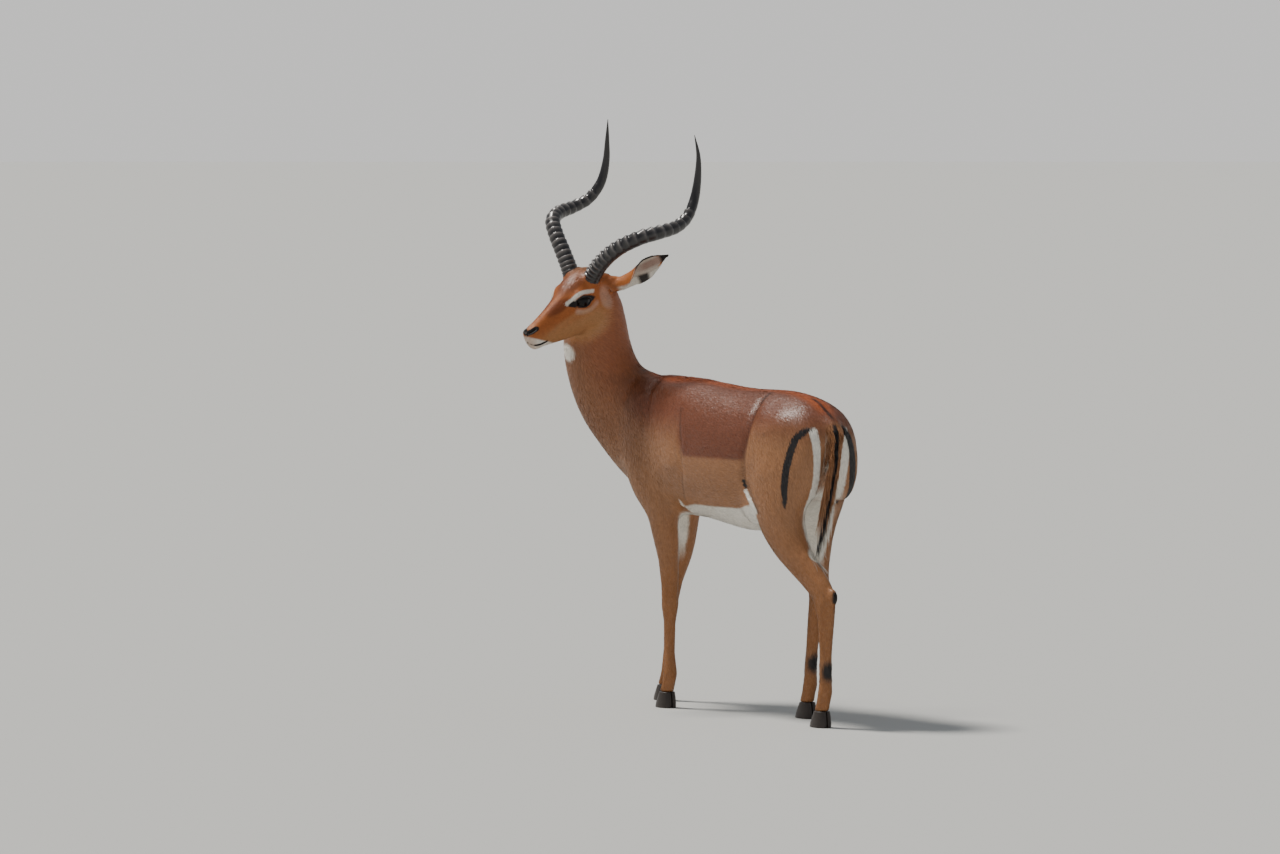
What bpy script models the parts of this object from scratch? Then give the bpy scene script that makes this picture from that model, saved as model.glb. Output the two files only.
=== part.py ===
"""Adult male impala standing still, head turned to its left.

Metres, +Z up, nose side of the trunk along -Y, the animal's left along +X.
Flesh is one soft union of lofted sections and muscle masses, parted afterwards with
thin cuts; horns, eyes and hooves are solids of their own seated in shallow sockets.
"""
import math

import bpy
import bmesh
import numpy as np
from mathutils import Matrix, Vector

# ---------------------------------------------------------------- named sizes
GAP = 0.0004             # clear gap between neighbouring solids
VOXEL = 0.0045           # grain of the flesh union
HEAD_TRIANGLE_GRAIN = 7000  # facets on the whole flesh at the fineness the head keeps
FLESH_TRIANGLES = 3700   # facets left after merging everywhere but on the head
HEAD_REACH = 0.20        # how far from the eyes the fine facets go
RING_SIDES = 40          # sides of a flesh section
TRUNK_SIDES = 72         # sides of a barrel section
ROW_STEPS = 4            # sections drawn for each listed one
BLEND_ROUNDS = 70        # spreading passes that melt the torso masses together
LIMB_BLEND = 0.06        # share of that spreading on head, tail and lower legs

# Trunk sections: forward, top, bottom, half width, height share of the widest level
TRUNK = (
    (0.404, 0.720, 0.610, 0.050, 0.50),
    (0.382, 0.775, 0.572, 0.076, 0.48),
    (0.340, 0.838, 0.540, 0.090, 0.46),
    (0.287, 0.877, 0.522, 0.098, 0.45),
    (0.230, 0.876, 0.513, 0.106, 0.44),
    (0.160, 0.874, 0.508, 0.118, 0.44),
    (0.070, 0.869, 0.505, 0.131, 0.44),
    (-0.030, 0.860, 0.493, 0.139, 0.44),
    (-0.120, 0.856, 0.482, 0.139, 0.45),
    (-0.200, 0.858, 0.490, 0.132, 0.47),
    (-0.270, 0.856, 0.516, 0.122, 0.50),
    (-0.340, 0.845, 0.560, 0.116, 0.54),
    (-0.395, 0.824, 0.610, 0.104, 0.56),
    (-0.430, 0.790, 0.645, 0.086, 0.56),
    (-0.452, 0.750, 0.680, 0.054, 0.52),
)

# Neck stations: forward, left, up, half depth, half width
NECK = (
    (0.240, -0.004, 0.700, 0.160, 0.092),
    (0.330, 0.006, 0.722, 0.158, 0.092),
    (0.393, 0.030, 0.767, 0.139, 0.088),
    (0.442, 0.056, 0.815, 0.118, 0.082),
    (0.468, 0.074, 0.875, 0.104, 0.078),
    (0.476, 0.088, 0.940, 0.094, 0.074),
    (0.470, 0.099, 1.005, 0.084, 0.067),
    (0.463, 0.108, 1.060, 0.073, 0.061),
    (0.457, 0.113, 1.100, 0.058, 0.052),
)

# Head frame: origin midway between the eyes, axes forward, left and up
HEAD_ORIGIN = (0.190, -0.445, 1.070)
HEAD_FORWARD = Vector((0.893, 0.138, -0.429))
HEAD_LEFT = Vector((-0.211, 0.969, -0.126))

# Head sections: forward, top, bottom, half width
HEAD = (
    (-0.118, 0.030, -0.050, 0.030),
    (-0.105, 0.046, -0.066, 0.043),
    (-0.080, 0.060, -0.082, 0.053),
    (-0.045, 0.068, -0.094, 0.056),
    (-0.005, 0.062, -0.093, 0.052),
    (0.035, 0.045, -0.088, 0.043),
    (0.070, 0.033, -0.081, 0.035),
    (0.105, 0.024, -0.072, 0.029),
    (0.138, 0.017, -0.064, 0.026),
    (0.165, 0.012, -0.058, 0.0245),
    (0.184, 0.007, -0.050, 0.020),
    (0.196, -0.003, -0.036, 0.011),
)

# Masses of the head: forward, left, up, then half sizes along the same axes
HEAD_MASSES = (
    (0.004, 0.0375, 0.014, 0.036, 0.0170, 0.029),
    (-0.030, 0.036, -0.046, 0.046, 0.0195, 0.042),
    (0.176, 0.012, -0.003, 0.018, 0.0125, 0.014),
    (0.168, 0.000, -0.050, 0.020, 0.016, 0.010),
    (-0.084, 0.046, 0.026, 0.024, 0.020, 0.022),
    (-0.052, 0.036, 0.050, 0.026, 0.024, 0.022),
)

EYE_CENTRE = (0.002, 0.0405, 0.004)
EYE_RADIUS = 0.0210

# Horn axis in the head frame: forward, left, up; the horn curls out, back and up again
HORN = (
    (-0.046, 0.033, 0.040),
    (-0.056, 0.046, 0.062),
    (-0.074, 0.074, 0.096),
    (-0.100, 0.113, 0.126),
    (-0.140, 0.156, 0.142),
    (-0.190, 0.181, 0.137),
    (-0.250, 0.186, 0.124),
    (-0.308, 0.177, 0.124),
    (-0.355, 0.168, 0.152),
    (-0.388, 0.165, 0.200),
    (-0.409, 0.164, 0.255),
    (-0.420, 0.156, 0.310),
)
HORN_BASE_RADIUS = 0.0240
HORN_RINGS = 52
HORN_SIDES = 8
HORN_RIDGES = 9
HORN_RIDGED_SHARE = 0.66
HORN_RIDGE_HEIGHT = 0.0015

# Ear blades in the head frame: root, run of the blade, side the cup opens to
EARS = (
    ("ear_left", (-0.080, 0.050, 0.022), (-0.75, 0.65, 0.12), (0.69, 0.70, -0.16)),
    ("ear_right", (-0.084, -0.050, 0.012), (-0.80, -0.45, -0.40), (0.35, -0.90, 0.25)),
)
EAR_LENGTH = 0.176
EAR_THICKNESS = 0.0045
EAR_STEPS = 6
# Share of the ear length, half width, half angle of the curl in degrees
EAR = (
    (0.02, 0.014, 150.0),
    (0.14, 0.018, 135.0),
    (0.28, 0.026, 105.0),
    (0.44, 0.033, 78.0),
    (0.60, 0.032, 62.0),
    (0.76, 0.024, 48.0),
    (0.90, 0.012, 36.0),
    (0.99, 0.0030, 25.0),
)

# Leg stations: forward, left, up, half size fore and aft, half size across
FORELEG_LEFT = (
    (0.315, 0.066, 0.690, 0.072, 0.042),
    (0.262, 0.072, 0.600, 0.072, 0.044),
    (0.212, 0.072, 0.530, 0.054, 0.038),
    (0.196, 0.069, 0.470, 0.045, 0.034),
    (0.186, 0.066, 0.400, 0.033, 0.0265),
    (0.185, 0.063, 0.330, 0.0250, 0.0220),
    (0.186, 0.061, 0.285, 0.0240, 0.0225),
    (0.187, 0.061, 0.262, 0.0225, 0.0210),
    (0.189, 0.060, 0.225, 0.0170, 0.0160),
    (0.189, 0.060, 0.150, 0.0150, 0.0142),
    (0.187, 0.060, 0.105, 0.0180, 0.0178),
    (0.188, 0.060, 0.085, 0.0190, 0.0188),
    (0.197, 0.060, 0.058, 0.0178, 0.0180),
    (0.206, 0.060, 0.030, 0.0205, 0.0205),
)
FORELEG_RIGHT = (
    (0.340, -0.066, 0.690, 0.072, 0.042),
    (0.322, -0.072, 0.600, 0.072, 0.044),
    (0.300, -0.072, 0.530, 0.056, 0.038),
    (0.300, -0.070, 0.470, 0.045, 0.034),
    (0.308, -0.067, 0.400, 0.033, 0.0265),
    (0.334, -0.063, 0.330, 0.0250, 0.0220),
    (0.348, -0.061, 0.285, 0.0240, 0.0225),
    (0.352, -0.060, 0.262, 0.0225, 0.0210),
    (0.353, -0.059, 0.225, 0.0170, 0.0160),
    (0.354, -0.058, 0.150, 0.0150, 0.0142),
    (0.354, -0.058, 0.105, 0.0180, 0.0178),
    (0.356, -0.058, 0.085, 0.0190, 0.0188),
    (0.366, -0.058, 0.058, 0.0178, 0.0180),
    (0.376, -0.058, 0.030, 0.0205, 0.0205),
)
HINDLEG_LEFT = (
    (-0.318, 0.066, 0.700, 0.100, 0.058),
    (-0.314, 0.080, 0.620, 0.108, 0.056),
    (-0.328, 0.086, 0.550, 0.090, 0.050),
    (-0.352, 0.085, 0.495, 0.070, 0.044),
    (-0.392, 0.080, 0.440, 0.050, 0.036),
    (-0.445, 0.073, 0.388, 0.040, 0.026),
    (-0.481, 0.068, 0.350, 0.036, 0.0235),
    (-0.492, 0.066, 0.312, 0.032, 0.0225),
    (-0.490, 0.063, 0.268, 0.0245, 0.0200),
    (-0.488, 0.061, 0.200, 0.0185, 0.0158),
    (-0.486, 0.060, 0.130, 0.0168, 0.0155),
    (-0.485, 0.060, 0.095, 0.0195, 0.0188),
    (-0.476, 0.060, 0.062, 0.0180, 0.0180),
    (-0.466, 0.060, 0.030, 0.0205, 0.0205),
)
HINDLEG_RIGHT = (
    (-0.300, -0.066, 0.700, 0.100, 0.058),
    (-0.272, -0.080, 0.620, 0.108, 0.056),
    (-0.256, -0.086, 0.550, 0.090, 0.050),
    (-0.255, -0.084, 0.490, 0.066, 0.043),
    (-0.265, -0.079, 0.430, 0.046, 0.034),
    (-0.279, -0.072, 0.378, 0.036, 0.0255),
    (-0.291, -0.068, 0.342, 0.035, 0.0235),
    (-0.293, -0.066, 0.308, 0.031, 0.0225),
    (-0.284, -0.063, 0.265, 0.0240, 0.0200),
    (-0.273, -0.061, 0.200, 0.0185, 0.0158),
    (-0.266, -0.060, 0.130, 0.0168, 0.0155),
    (-0.265, -0.060, 0.095, 0.0195, 0.0188),
    (-0.256, -0.060, 0.062, 0.0180, 0.0180),
    (-0.247, -0.060, 0.030, 0.0205, 0.0205),
)

# Body masses: forward, left, up, then half sizes along the same axes
BODY_MASSES = (
    (0.305, 0.070, 0.735, 0.078, 0.040, 0.115),
    (0.318, -0.070, 0.735, 0.078, 0.040, 0.115),
    (0.362, 0.052, 0.650, 0.046, 0.040, 0.060),
    (0.372, -0.052, 0.650, 0.046, 0.040, 0.060),
    (-0.315, 0.062, 0.740, 0.115, 0.060, 0.082),
    (-0.305, -0.062, 0.740, 0.115, 0.060, 0.082),
    (-0.403, 0.060, 0.672, 0.052, 0.048, 0.112),
    (-0.395, -0.060, 0.672, 0.052, 0.046, 0.112),
    (-0.235, 0.092, 0.560, 0.050, 0.038, 0.060),
    (-0.190, -0.092, 0.560, 0.050, 0.038, 0.060),
    (-0.372, 0.000, 0.602, 0.034, 0.026, 0.038),
    (-0.524, 0.066, 0.338, 0.016, 0.013, 0.024),
    (-0.320, -0.066, 0.338, 0.016, 0.013, 0.024),
)

# Tail stations: forward, left, up, half depth, half width
TAIL = (
    (-0.395, 0.000, 0.790, 0.024, 0.028),
    (-0.434, 0.000, 0.784, 0.018, 0.024),
    (-0.460, 0.004, 0.758, 0.014, 0.021),
    (-0.471, 0.014, 0.710, 0.011, 0.021),
    (-0.474, 0.030, 0.645, 0.011, 0.022),
    (-0.473, 0.045, 0.575, 0.011, 0.021),
    (-0.466, 0.055, 0.505, 0.009, 0.016),
    (-0.458, 0.060, 0.452, 0.004, 0.006),
)

# Feet: forward and left of the middle of each pair of claws
FEET = (
    ("fore_left", 0.203, 0.060),
    ("fore_right", 0.373, -0.058),
    ("hind_left", -0.469, 0.060),
    ("hind_right", -0.250, -0.060),
)
HOOF_TOP = 0.042
# Claw levels: height, toe ahead of the middle, heel behind it, half width
CLAW = (
    (0.000, 0.037, -0.025, 0.0096),
    (0.0015, 0.0385, -0.0262, 0.0106),
    (0.014, 0.034, -0.0262, 0.0108),
    (0.028, 0.026, -0.0245, 0.0105),
    (0.042, 0.0175, -0.0215, 0.0098),
)
CLAW_SIDES = 8
CLAW_SPLIT = 0.0012


# ---------------------------------------------------------------- mesh helpers
def trunk_point(forward, left, up):
    """Trunk position to model axes."""
    return Vector((left, -forward, up))


def head_matrix():
    """Head frame as a matrix with columns forward, left, up."""
    forward = HEAD_FORWARD.normalized()
    left = (HEAD_LEFT - forward * HEAD_LEFT.dot(forward)).normalized()
    up = forward.cross(left)
    turn = Matrix((forward, left, up)).transposed()
    return Matrix.Translation(Vector(HEAD_ORIGIN)) @ turn.to_4x4()


def mesh_object(name, points, faces):
    """New mesh object from points and faces."""
    mesh = bpy.data.meshes.new(name)
    mesh.from_pydata([tuple(p) for p in points], [], faces)
    mesh.update()
    made = bpy.data.objects.new(name, mesh)
    bpy.context.scene.collection.objects.link(made)
    return made


def loft(name, rings, crescent=False):
    """Closed loft through equal rings; ends closed with a fan, or with a strip across."""
    count = len(rings[0])
    points = [p for ring in rings for p in ring]
    faces = []
    for step in range(len(rings) - 1):
        low = step * count
        for side in range(count):
            near = low + side
            far = low + (side + 1) % count
            faces.append((near, far, far + count, near + count))
    last = (len(rings) - 1) * count
    if crescent:
        for side in range(count // 2 - 1):
            cap = (side, count - 1 - side, count - 2 - side, side + 1)
            faces.append(cap)
            faces.append(tuple(last + corner for corner in cap[::-1]))
    else:
        start = len(points)
        points.append(sum(rings[0], Vector()) / count)
        points.append(sum(rings[-1], Vector()) / count)
        for side in range(count):
            far = (side + 1) % count
            faces.append((far, side, start))
            faces.append((last + side, last + far, start + 1))
    made = mesh_object(name, points, faces)
    face_outward(made)
    return made


def face_outward(made):
    """Turn every face outward and keep triangles only."""
    work = bmesh.new()
    work.from_mesh(made.data)
    bmesh.ops.recalc_face_normals(work, faces=work.faces[:])
    bmesh.ops.triangulate(work, faces=work.faces[:])
    if work.calc_volume(signed=True) < 0.0:
        bmesh.ops.reverse_faces(work, faces=work.faces[:])
    work.to_mesh(made.data)
    work.free()


def refined(rows, steps):
    """Extra rows between the given ones on a Catmull-Rom curve through every column."""
    table = np.array(rows, dtype=float)
    table = np.vstack([2.0 * table[0] - table[1], table, 2.0 * table[-1] - table[-2]])
    fine = []
    for index in range(1, len(table) - 2):
        a, b, c, d = table[index - 1:index + 3]
        for step in range(steps):
            t = step / steps
            fine.append(0.5 * (2.0 * b + (c - a) * t + (2.0 * a - 5.0 * b + 4.0 * c - d) * t ** 2
                               + (3.0 * b - a - 3.0 * c + d) * t ** 3))
    fine.append(table[-2])
    return [tuple(float(value) for value in row) for row in fine]


def section(centre, along, across, half_along, half_across, power=2.0, sides=RING_SIDES):
    """Superellipse ring."""
    ring = []
    for step in range(sides):
        turn = 2.0 * math.pi * step / sides
        c = math.cos(turn)
        s = math.sin(turn)
        u = math.copysign(abs(c) ** (2.0 / power), c)
        v = math.copysign(abs(s) ** (2.0 / power), s)
        ring.append(centre + along * (half_along * u) + across * (half_across * v))
    return ring


def tube(name, stations, sideways, sides=RING_SIDES):
    """Loft along stations (centre, half depth, half width), sections square to the path."""
    centres = [s[0] for s in stations]
    rings = []
    for index, (centre, depth, width) in enumerate(stations):
        before = centres[max(index - 1, 0)]
        after = centres[min(index + 1, len(centres) - 1)]
        run = (after - before).normalized()
        side = sideways[index] if isinstance(sideways, list) else sideways
        across = (side - run * side.dot(run)).normalized()
        rings.append(section(centre, run.cross(across), across, depth, width, 2.1, sides))
    return loft(name, rings)


def ellipsoid(name, centre, axes, halves, sides=24, rows=14):
    """Closed ellipsoid on the given axes."""
    rings = []
    for row in range(1, rows):
        lean = math.pi * row / rows
        flat = math.sin(lean)
        middle = centre + axes[2] * (halves[2] * math.cos(lean))
        rings.append(section(middle, axes[0], axes[1], halves[0] * flat, halves[1] * flat,
                             2.0, sides))
    return loft(name, rings)


def combine(base, other, operation):
    """Boolean of two closed solids, the second one removed afterwards."""
    change = base.modifiers.new("Combine", "BOOLEAN")
    change.operation = operation
    change.solver = "EXACT"
    change.object = other
    apply_all(base)
    drop(other)
    return base


def drop(made):
    """Remove an object and its mesh."""
    mesh = made.data
    bpy.data.objects.remove(made, do_unlink=True)
    bpy.data.meshes.remove(mesh)


def apply_all(made):
    """Bake an object's modifiers into its mesh."""
    graph = bpy.context.evaluated_depsgraph_get()
    baked = bpy.data.meshes.new_from_object(made.evaluated_get(graph))
    old = made.data
    made.modifiers.clear()
    made.data = baked
    bpy.data.meshes.remove(old)


def copy_of(made, name):
    """Independent copy of a solid."""
    twin = bpy.data.objects.new(name, made.data.copy())
    bpy.context.scene.collection.objects.link(twin)
    return twin


def join(name, pieces):
    """One mesh from several, still overlapping."""
    work = bmesh.new()
    for piece in pieces:
        work.from_mesh(piece.data)
    mesh = bpy.data.meshes.new(name)
    work.to_mesh(mesh)
    work.free()
    for piece in pieces:
        drop(piece)
    made = bpy.data.objects.new(name, mesh)
    bpy.context.scene.collection.objects.link(made)
    return made


def blend(made, rounds, amount):
    """Spread each point towards its neighbours; amount() gives 0 to 1 by place."""
    mesh = made.data
    count = len(mesh.vertices)
    place = np.empty(count * 3)
    mesh.vertices.foreach_get("co", place)
    place = place.reshape(count, 3)
    ends = np.empty(len(mesh.edges) * 2, dtype=np.int32)
    mesh.edges.foreach_get("vertices", ends)
    ends = ends.reshape(-1, 2)
    degree = np.bincount(ends.ravel(), minlength=count).astype(float)
    weight = amount(place)[:, None]
    for _ in range(rounds):
        total = np.zeros_like(place)
        for axis in range(3):
            total[:, axis] += np.bincount(ends[:, 0], place[ends[:, 1], axis], count)
            total[:, axis] += np.bincount(ends[:, 1], place[ends[:, 0], axis], count)
        place += weight * (total / degree[:, None] - place)
    mesh.vertices.foreach_set("co", place.ravel())
    mesh.update()


def thin_out(made, target, allowed):
    """Merge facets down to a target number, only at points where allowed() is true."""
    group = made.vertex_groups.new(name="Merged")
    for vertex in made.data.vertices:
        if allowed(vertex.co):
            group.add([vertex.index], 1.0, "REPLACE")
    fewer = made.modifiers.new("Fewer", "DECIMATE")
    fewer.vertex_group = group.name
    fewer.ratio = target / sum(len(face.vertices) - 2 for face in made.data.polygons)
    apply_all(made)
    made.vertex_groups.clear()


def ramp(values, low, high):
    """Smooth step from 0 at low to 1 at high."""
    share = np.clip((values - low) / (high - low), 0.0, 1.0)
    return share * share * (3.0 - 2.0 * share)


def box(name, centre, axes, halves):
    """Cutting block on three axes."""
    points = []
    for a in (-1, 1):
        for b in (-1, 1):
            for c in (-1, 1):
                points.append(centre + axes[0] * (a * halves[0]) + axes[1] * (b * halves[1])
                              + axes[2] * (c * halves[2]))
    faces = [(0, 1, 3, 2), (4, 6, 7, 5), (0, 4, 5, 1), (2, 3, 7, 6), (0, 2, 6, 4), (1, 5, 7, 3)]
    made = mesh_object(name, points, faces)
    face_outward(made)
    return made


# ---------------------------------------------------------------- flesh
def trunk_mesh():
    """Barrel of the body: egg-shaped sections, fuller below the spine."""
    rings = []
    for forward, top, bottom, half_width, share in refined(TRUNK, ROW_STEPS):
        level = bottom + (top - bottom) * share
        ring = []
        for step in range(TRUNK_SIDES):
            turn = 2.0 * math.pi * step / TRUNK_SIDES
            c = math.cos(turn)
            s = math.sin(turn)
            rise = (top - level) if s > 0.0 else (level - bottom)
            width = math.copysign(abs(c) ** 0.92, c)
            ring.append(trunk_point(forward, half_width * width, level + rise * s))
        rings.append(ring)
    return loft("Barrel", rings)


def head_mesh(frame):
    """Skull and muzzle with their masses, in the head frame."""
    forward, left, up = (frame.to_3x3() @ Vector(a) for a in ((1, 0, 0), (0, 1, 0), (0, 0, 1)))
    rings = []
    for x, top, bottom, half_width in refined(HEAD, ROW_STEPS):
        centre = frame @ Vector((x, 0.0, (top + bottom) / 2.0))
        rings.append(section(centre, up, left, (top - bottom) / 2.0, half_width, 2.25))
    pieces = [loft("Skull", rings)]
    for x, y, z, rx, ry, rz in HEAD_MASSES:
        for side in ((1.0, -1.0) if y > 0.0 else (1.0,)):
            centre = frame @ Vector((x, y * side, z))
            pieces.append(ellipsoid("Mass", centre, (forward, left, up), (rx, ry, rz)))
    return pieces


def limb(name, stations):
    """Leg from its stations."""
    rows = [(trunk_point(f, l, z), depth, width)
            for f, l, z, depth, width in refined(stations, ROW_STEPS)]
    return tube(name, rows, Vector((1.0, 0.0, 0.0)))


def flesh(frame):
    """Soft union of the whole animal without horns, ears, eyes and hooves."""
    pieces = [trunk_mesh()]
    head_left = frame.to_3x3() @ Vector((0, 1, 0))
    sideways = []
    rows = []
    stations = refined(NECK, ROW_STEPS)
    for index, (f, l, z, depth, width) in enumerate(stations):
        share = index / (len(stations) - 1.0)
        sideways.append(Vector((1, 0, 0)).lerp(head_left * 1.0, share * 0.55).normalized())
        rows.append((trunk_point(f, l, z), depth, width))
    pieces.append(tube("Nape", rows, sideways))
    pieces += head_mesh(frame)
    for stations in (FORELEG_LEFT, FORELEG_RIGHT, HINDLEG_LEFT, HINDLEG_RIGHT):
        pieces.append(limb("Leg", stations))
    axes = (Vector((0, -1, 0)), Vector((1, 0, 0)), Vector((0, 0, 1)))
    for f, l, z, rf, rl, rz in BODY_MASSES:
        pieces.append(ellipsoid("Mass", trunk_point(f, l, z), axes, (rf, rl, rz)))
    pieces.append(limb("Dock", TAIL))
    whole = join("Flesh", pieces)
    grain = whole.modifiers.new("Grain", "REMESH")
    grain.mode = "VOXEL"
    grain.voxel_size = VOXEL
    apply_all(whole)
    head = np.array(frame.translation)

    def torso(place):
        away = np.linalg.norm(place - head, axis=1)
        tail = ramp(place[:, 1], 0.440, 0.462) * ramp(0.78 - place[:, 2], 0.0, 0.03)
        reach = ramp(away, 0.17, 0.30) * ramp(place[:, 2], 0.40, 0.56) * (1.0 - tail)
        return 0.6 * np.maximum(reach, LIMB_BLEND)

    blend(whole, BLEND_ROUNDS, torso)
    thin_out(whole, HEAD_TRIANGLE_GRAIN, lambda place: True)
    thin_out(whole, FLESH_TRIANGLES, lambda place: (place - frame.translation).length > HEAD_REACH)
    face_outward(whole)
    return whole


# ---------------------------------------------------------------- horns, ears, eyes, claws
def smooth_path(points, count):
    """Even spread of points on a Catmull-Rom curve."""
    ends = [points[0] * 2.0 - points[1]] + points + [points[-1] * 2.0 - points[-2]]
    fine = []
    for index in range(1, len(ends) - 2):
        a, b, c, d = ends[index - 1:index + 3]
        for step in range(12):
            t = step / 12.0
            fine.append(0.5 * ((2.0 * b) + (c - a) * t + (2.0 * a - 5.0 * b + 4.0 * c - d) * t ** 2
                               + (3.0 * b - a - 3.0 * c + d) * t ** 3))
    fine.append(points[-1])
    run = [0.0]
    for one, two in zip(fine, fine[1:]):
        run.append(run[-1] + (two - one).length)
    spread = np.linspace(0.0, run[-1], count)
    columns = [np.interp(spread, run, [p[axis] for p in fine]) for axis in range(3)]
    return [Vector(row) for row in zip(*columns)]


def horn_radius(share):
    """Half thickness along the horn without its ridges."""
    taper = 1.0 - 0.50 * share - 0.47 * share ** 4
    return HORN_BASE_RADIUS * max(taper, 0.05)


def horn(name, frame, side):
    """Ringed, lyre-shaped horn."""
    axis = [frame @ Vector((x, y * side, z)) for x, y, z in HORN]
    path = smooth_path(axis, HORN_RINGS)
    rings = []
    across = frame.to_3x3() @ Vector((0, 1, 0))
    for index, centre in enumerate(path):
        share = index / (HORN_RINGS - 1.0)
        run = (path[min(index + 1, HORN_RINGS - 1)] - path[max(index - 1, 0)]).normalized()
        across = (across - run * across.dot(run)).normalized()
        radius = horn_radius(share)
        ridged = min(share / 0.08, 1.0, max((HORN_RIDGED_SHARE - share) / 0.10, 0.0))
        wave = math.cos(2.0 * math.pi * HORN_RIDGES * share / HORN_RIDGED_SHARE)
        radius += HORN_RIDGE_HEIGHT * ridged * wave * (1.0 - 0.4 * share)
        rings.append(section(centre, run.cross(across), across, radius, radius * 0.94,
                             2.0, HORN_SIDES))
    return loft(name, rings)


def ear(name, frame, root, run, opening):
    """Leaf-shaped cup: a thin curved blade closed all round, on a rounded root."""
    turn = frame.to_3x3()
    along = (turn @ Vector(run)).normalized()
    out = turn @ Vector(opening)
    out = (out - along * out.dot(along)).normalized()
    across = along.cross(out)
    start = frame @ Vector(root)
    rings = []
    for share, half_width, half_angle in EAR:
        centre = start + along * (EAR_LENGTH * share)
        angle = math.radians(half_angle)
        radius = half_width / (math.sin(angle) if half_angle < 90.0 else 1.0)
        thick = min(EAR_THICKNESS, half_width * 0.6)
        hub = centre + out * (radius * 0.9)
        outer = []
        inner = []
        for step in range(EAR_STEPS + 1):
            lean = angle * (2.0 * step / EAR_STEPS - 1.0)
            spoke = across * math.sin(lean) - out * math.cos(lean)
            edge = thick * (0.35 if step in (0, EAR_STEPS) else 1.0)
            outer.append(hub + spoke * radius)
            inner.append(hub + spoke * (radius - edge))
        rings.append(outer + inner[::-1])
    blade = loft(name, rings, True)
    plug = ellipsoid("Plug", start + along * 0.012, (along, across, out), (0.030, 0.0165, 0.0165),
                     10, 7)
    return combine(blade, plug, "UNION")


def eye(name, frame, side):
    """Eyeball."""
    x, y, z = EYE_CENTRE
    turn = frame.to_3x3()
    axes = [turn @ Vector(a) for a in ((1, 0, 0), (0, 0, 1), (0, 1, 0))]
    centre = frame @ Vector((x, y * side, z))
    return ellipsoid(name, centre, axes, (EYE_RADIUS, EYE_RADIUS, EYE_RADIUS), 12, 8)


def claw(name, forward, left, side):
    """One half of a cloven hoof, flat inside and flat underneath."""
    rings = []
    for height, toe, heel, half_width in CLAW:
        ring = []
        for step in range(CLAW_SIDES):
            turn = 2.0 * math.pi * step / CLAW_SIDES
            c = math.cos(turn)
            s = math.sin(turn)
            length = (toe if c > 0.0 else -heel) * math.copysign(abs(c) ** 0.9, c)
            bulge = math.copysign(abs(s) ** 0.75, s)
            taper = 1.0 - 0.55 * max(c, 0.0) ** 3
            width = half_width * (1.0 + bulge * taper)
            inner = CLAW_SPLIT + (half_width * 0.35) * max(c, 0.0) ** 4
            across = side * (inner * (0.5 - 0.5 * bulge) + width * (0.5 + 0.5 * bulge))
            across = side * max(abs(across), CLAW_SPLIT)
            ring.append(trunk_point(forward + length, left + across, height))
        rings.append(ring)
    return loft(name, rings)


# ---------------------------------------------------------------- parting
def swollen(made, name, clearance):
    """Copy with every point moved outward along its normal."""
    twin = copy_of(made, name)
    mesh = twin.data
    normals = [v.normal.copy() for v in mesh.vertices]
    for vertex, normal in zip(mesh.vertices, normals):
        vertex.co += normal * clearance
    mesh.update()
    return twin


def part_off(whole, name, centre, axes, halves):
    """Split the piece of the whole inside a block off, leaving a thin gap."""
    piece = copy_of(whole, name)
    combine(piece, box("Block", centre, axes, halves), "INTERSECT")
    wider = [h + GAP for h in halves]
    combine(whole, box("Block", centre, axes, wider), "DIFFERENCE")
    return piece


def upright(forward, left, up, halves):
    """Centre, axes and half sizes of an upright block: forward, left, up."""
    axes = (Vector((0, -1, 0)), Vector((1, 0, 0)), Vector((0, 0, 1)))
    return trunk_point(forward, left, up), axes, halves


def keep_largest(made):
    """Drop crumbs left by a cut: only the largest shell stays."""
    work = bmesh.new()
    work.from_mesh(made.data)
    work.verts.ensure_lookup_table()
    seen = set()
    shells = []
    for vertex in work.verts:
        if vertex.index in seen:
            continue
        shell = [vertex]
        seen.add(vertex.index)
        for member in shell:
            for edge in member.link_edges:
                other = edge.other_vert(member)
                if other.index not in seen:
                    seen.add(other.index)
                    shell.append(other)
        shells.append(shell)
    shells.sort(key=len)
    for shell in shells[:-1]:
        bmesh.ops.delete(work, geom=shell, context="VERTS")
    work.to_mesh(made.data)
    work.free()


# ---------------------------------------------------------------- build
for old in list(bpy.data.objects):
    bpy.data.objects.remove(old, do_unlink=True)

FRAME = head_matrix()
BODY = flesh(FRAME)
TURN = FRAME.to_3x3()
NODES = []

# Sockets for horns, ears and eyes
for label, sign in (("left", 1.0), ("right", -1.0)):
    NODES.append(horn("horn_" + label, FRAME, sign))
    NODES.append(eye("eye_" + label, FRAME, sign))
for label, root, run, opening in EARS:
    NODES.append(ear(label, FRAME, root, run, opening))
for seated in NODES:
    combine(BODY, swollen(seated, "Seat", GAP), "DIFFERENCE")

# Claws, then everything of the legs below the top of the hoof is cleared away
for label, forward, left in FEET:
    NODES.append(claw("hoof_" + label + "_outer", forward, left, math.copysign(1.0, left)))
    NODES.append(claw("hoof_" + label + "_inner", forward, left, -math.copysign(1.0, left)))
FLOOR_BLOCK = upright(0.0, 0.0, 0.0, (0.8, 0.4, HOOF_TOP + GAP))
combine(BODY, box("Block", *FLOOR_BLOCK), "DIFFERENCE")

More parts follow.
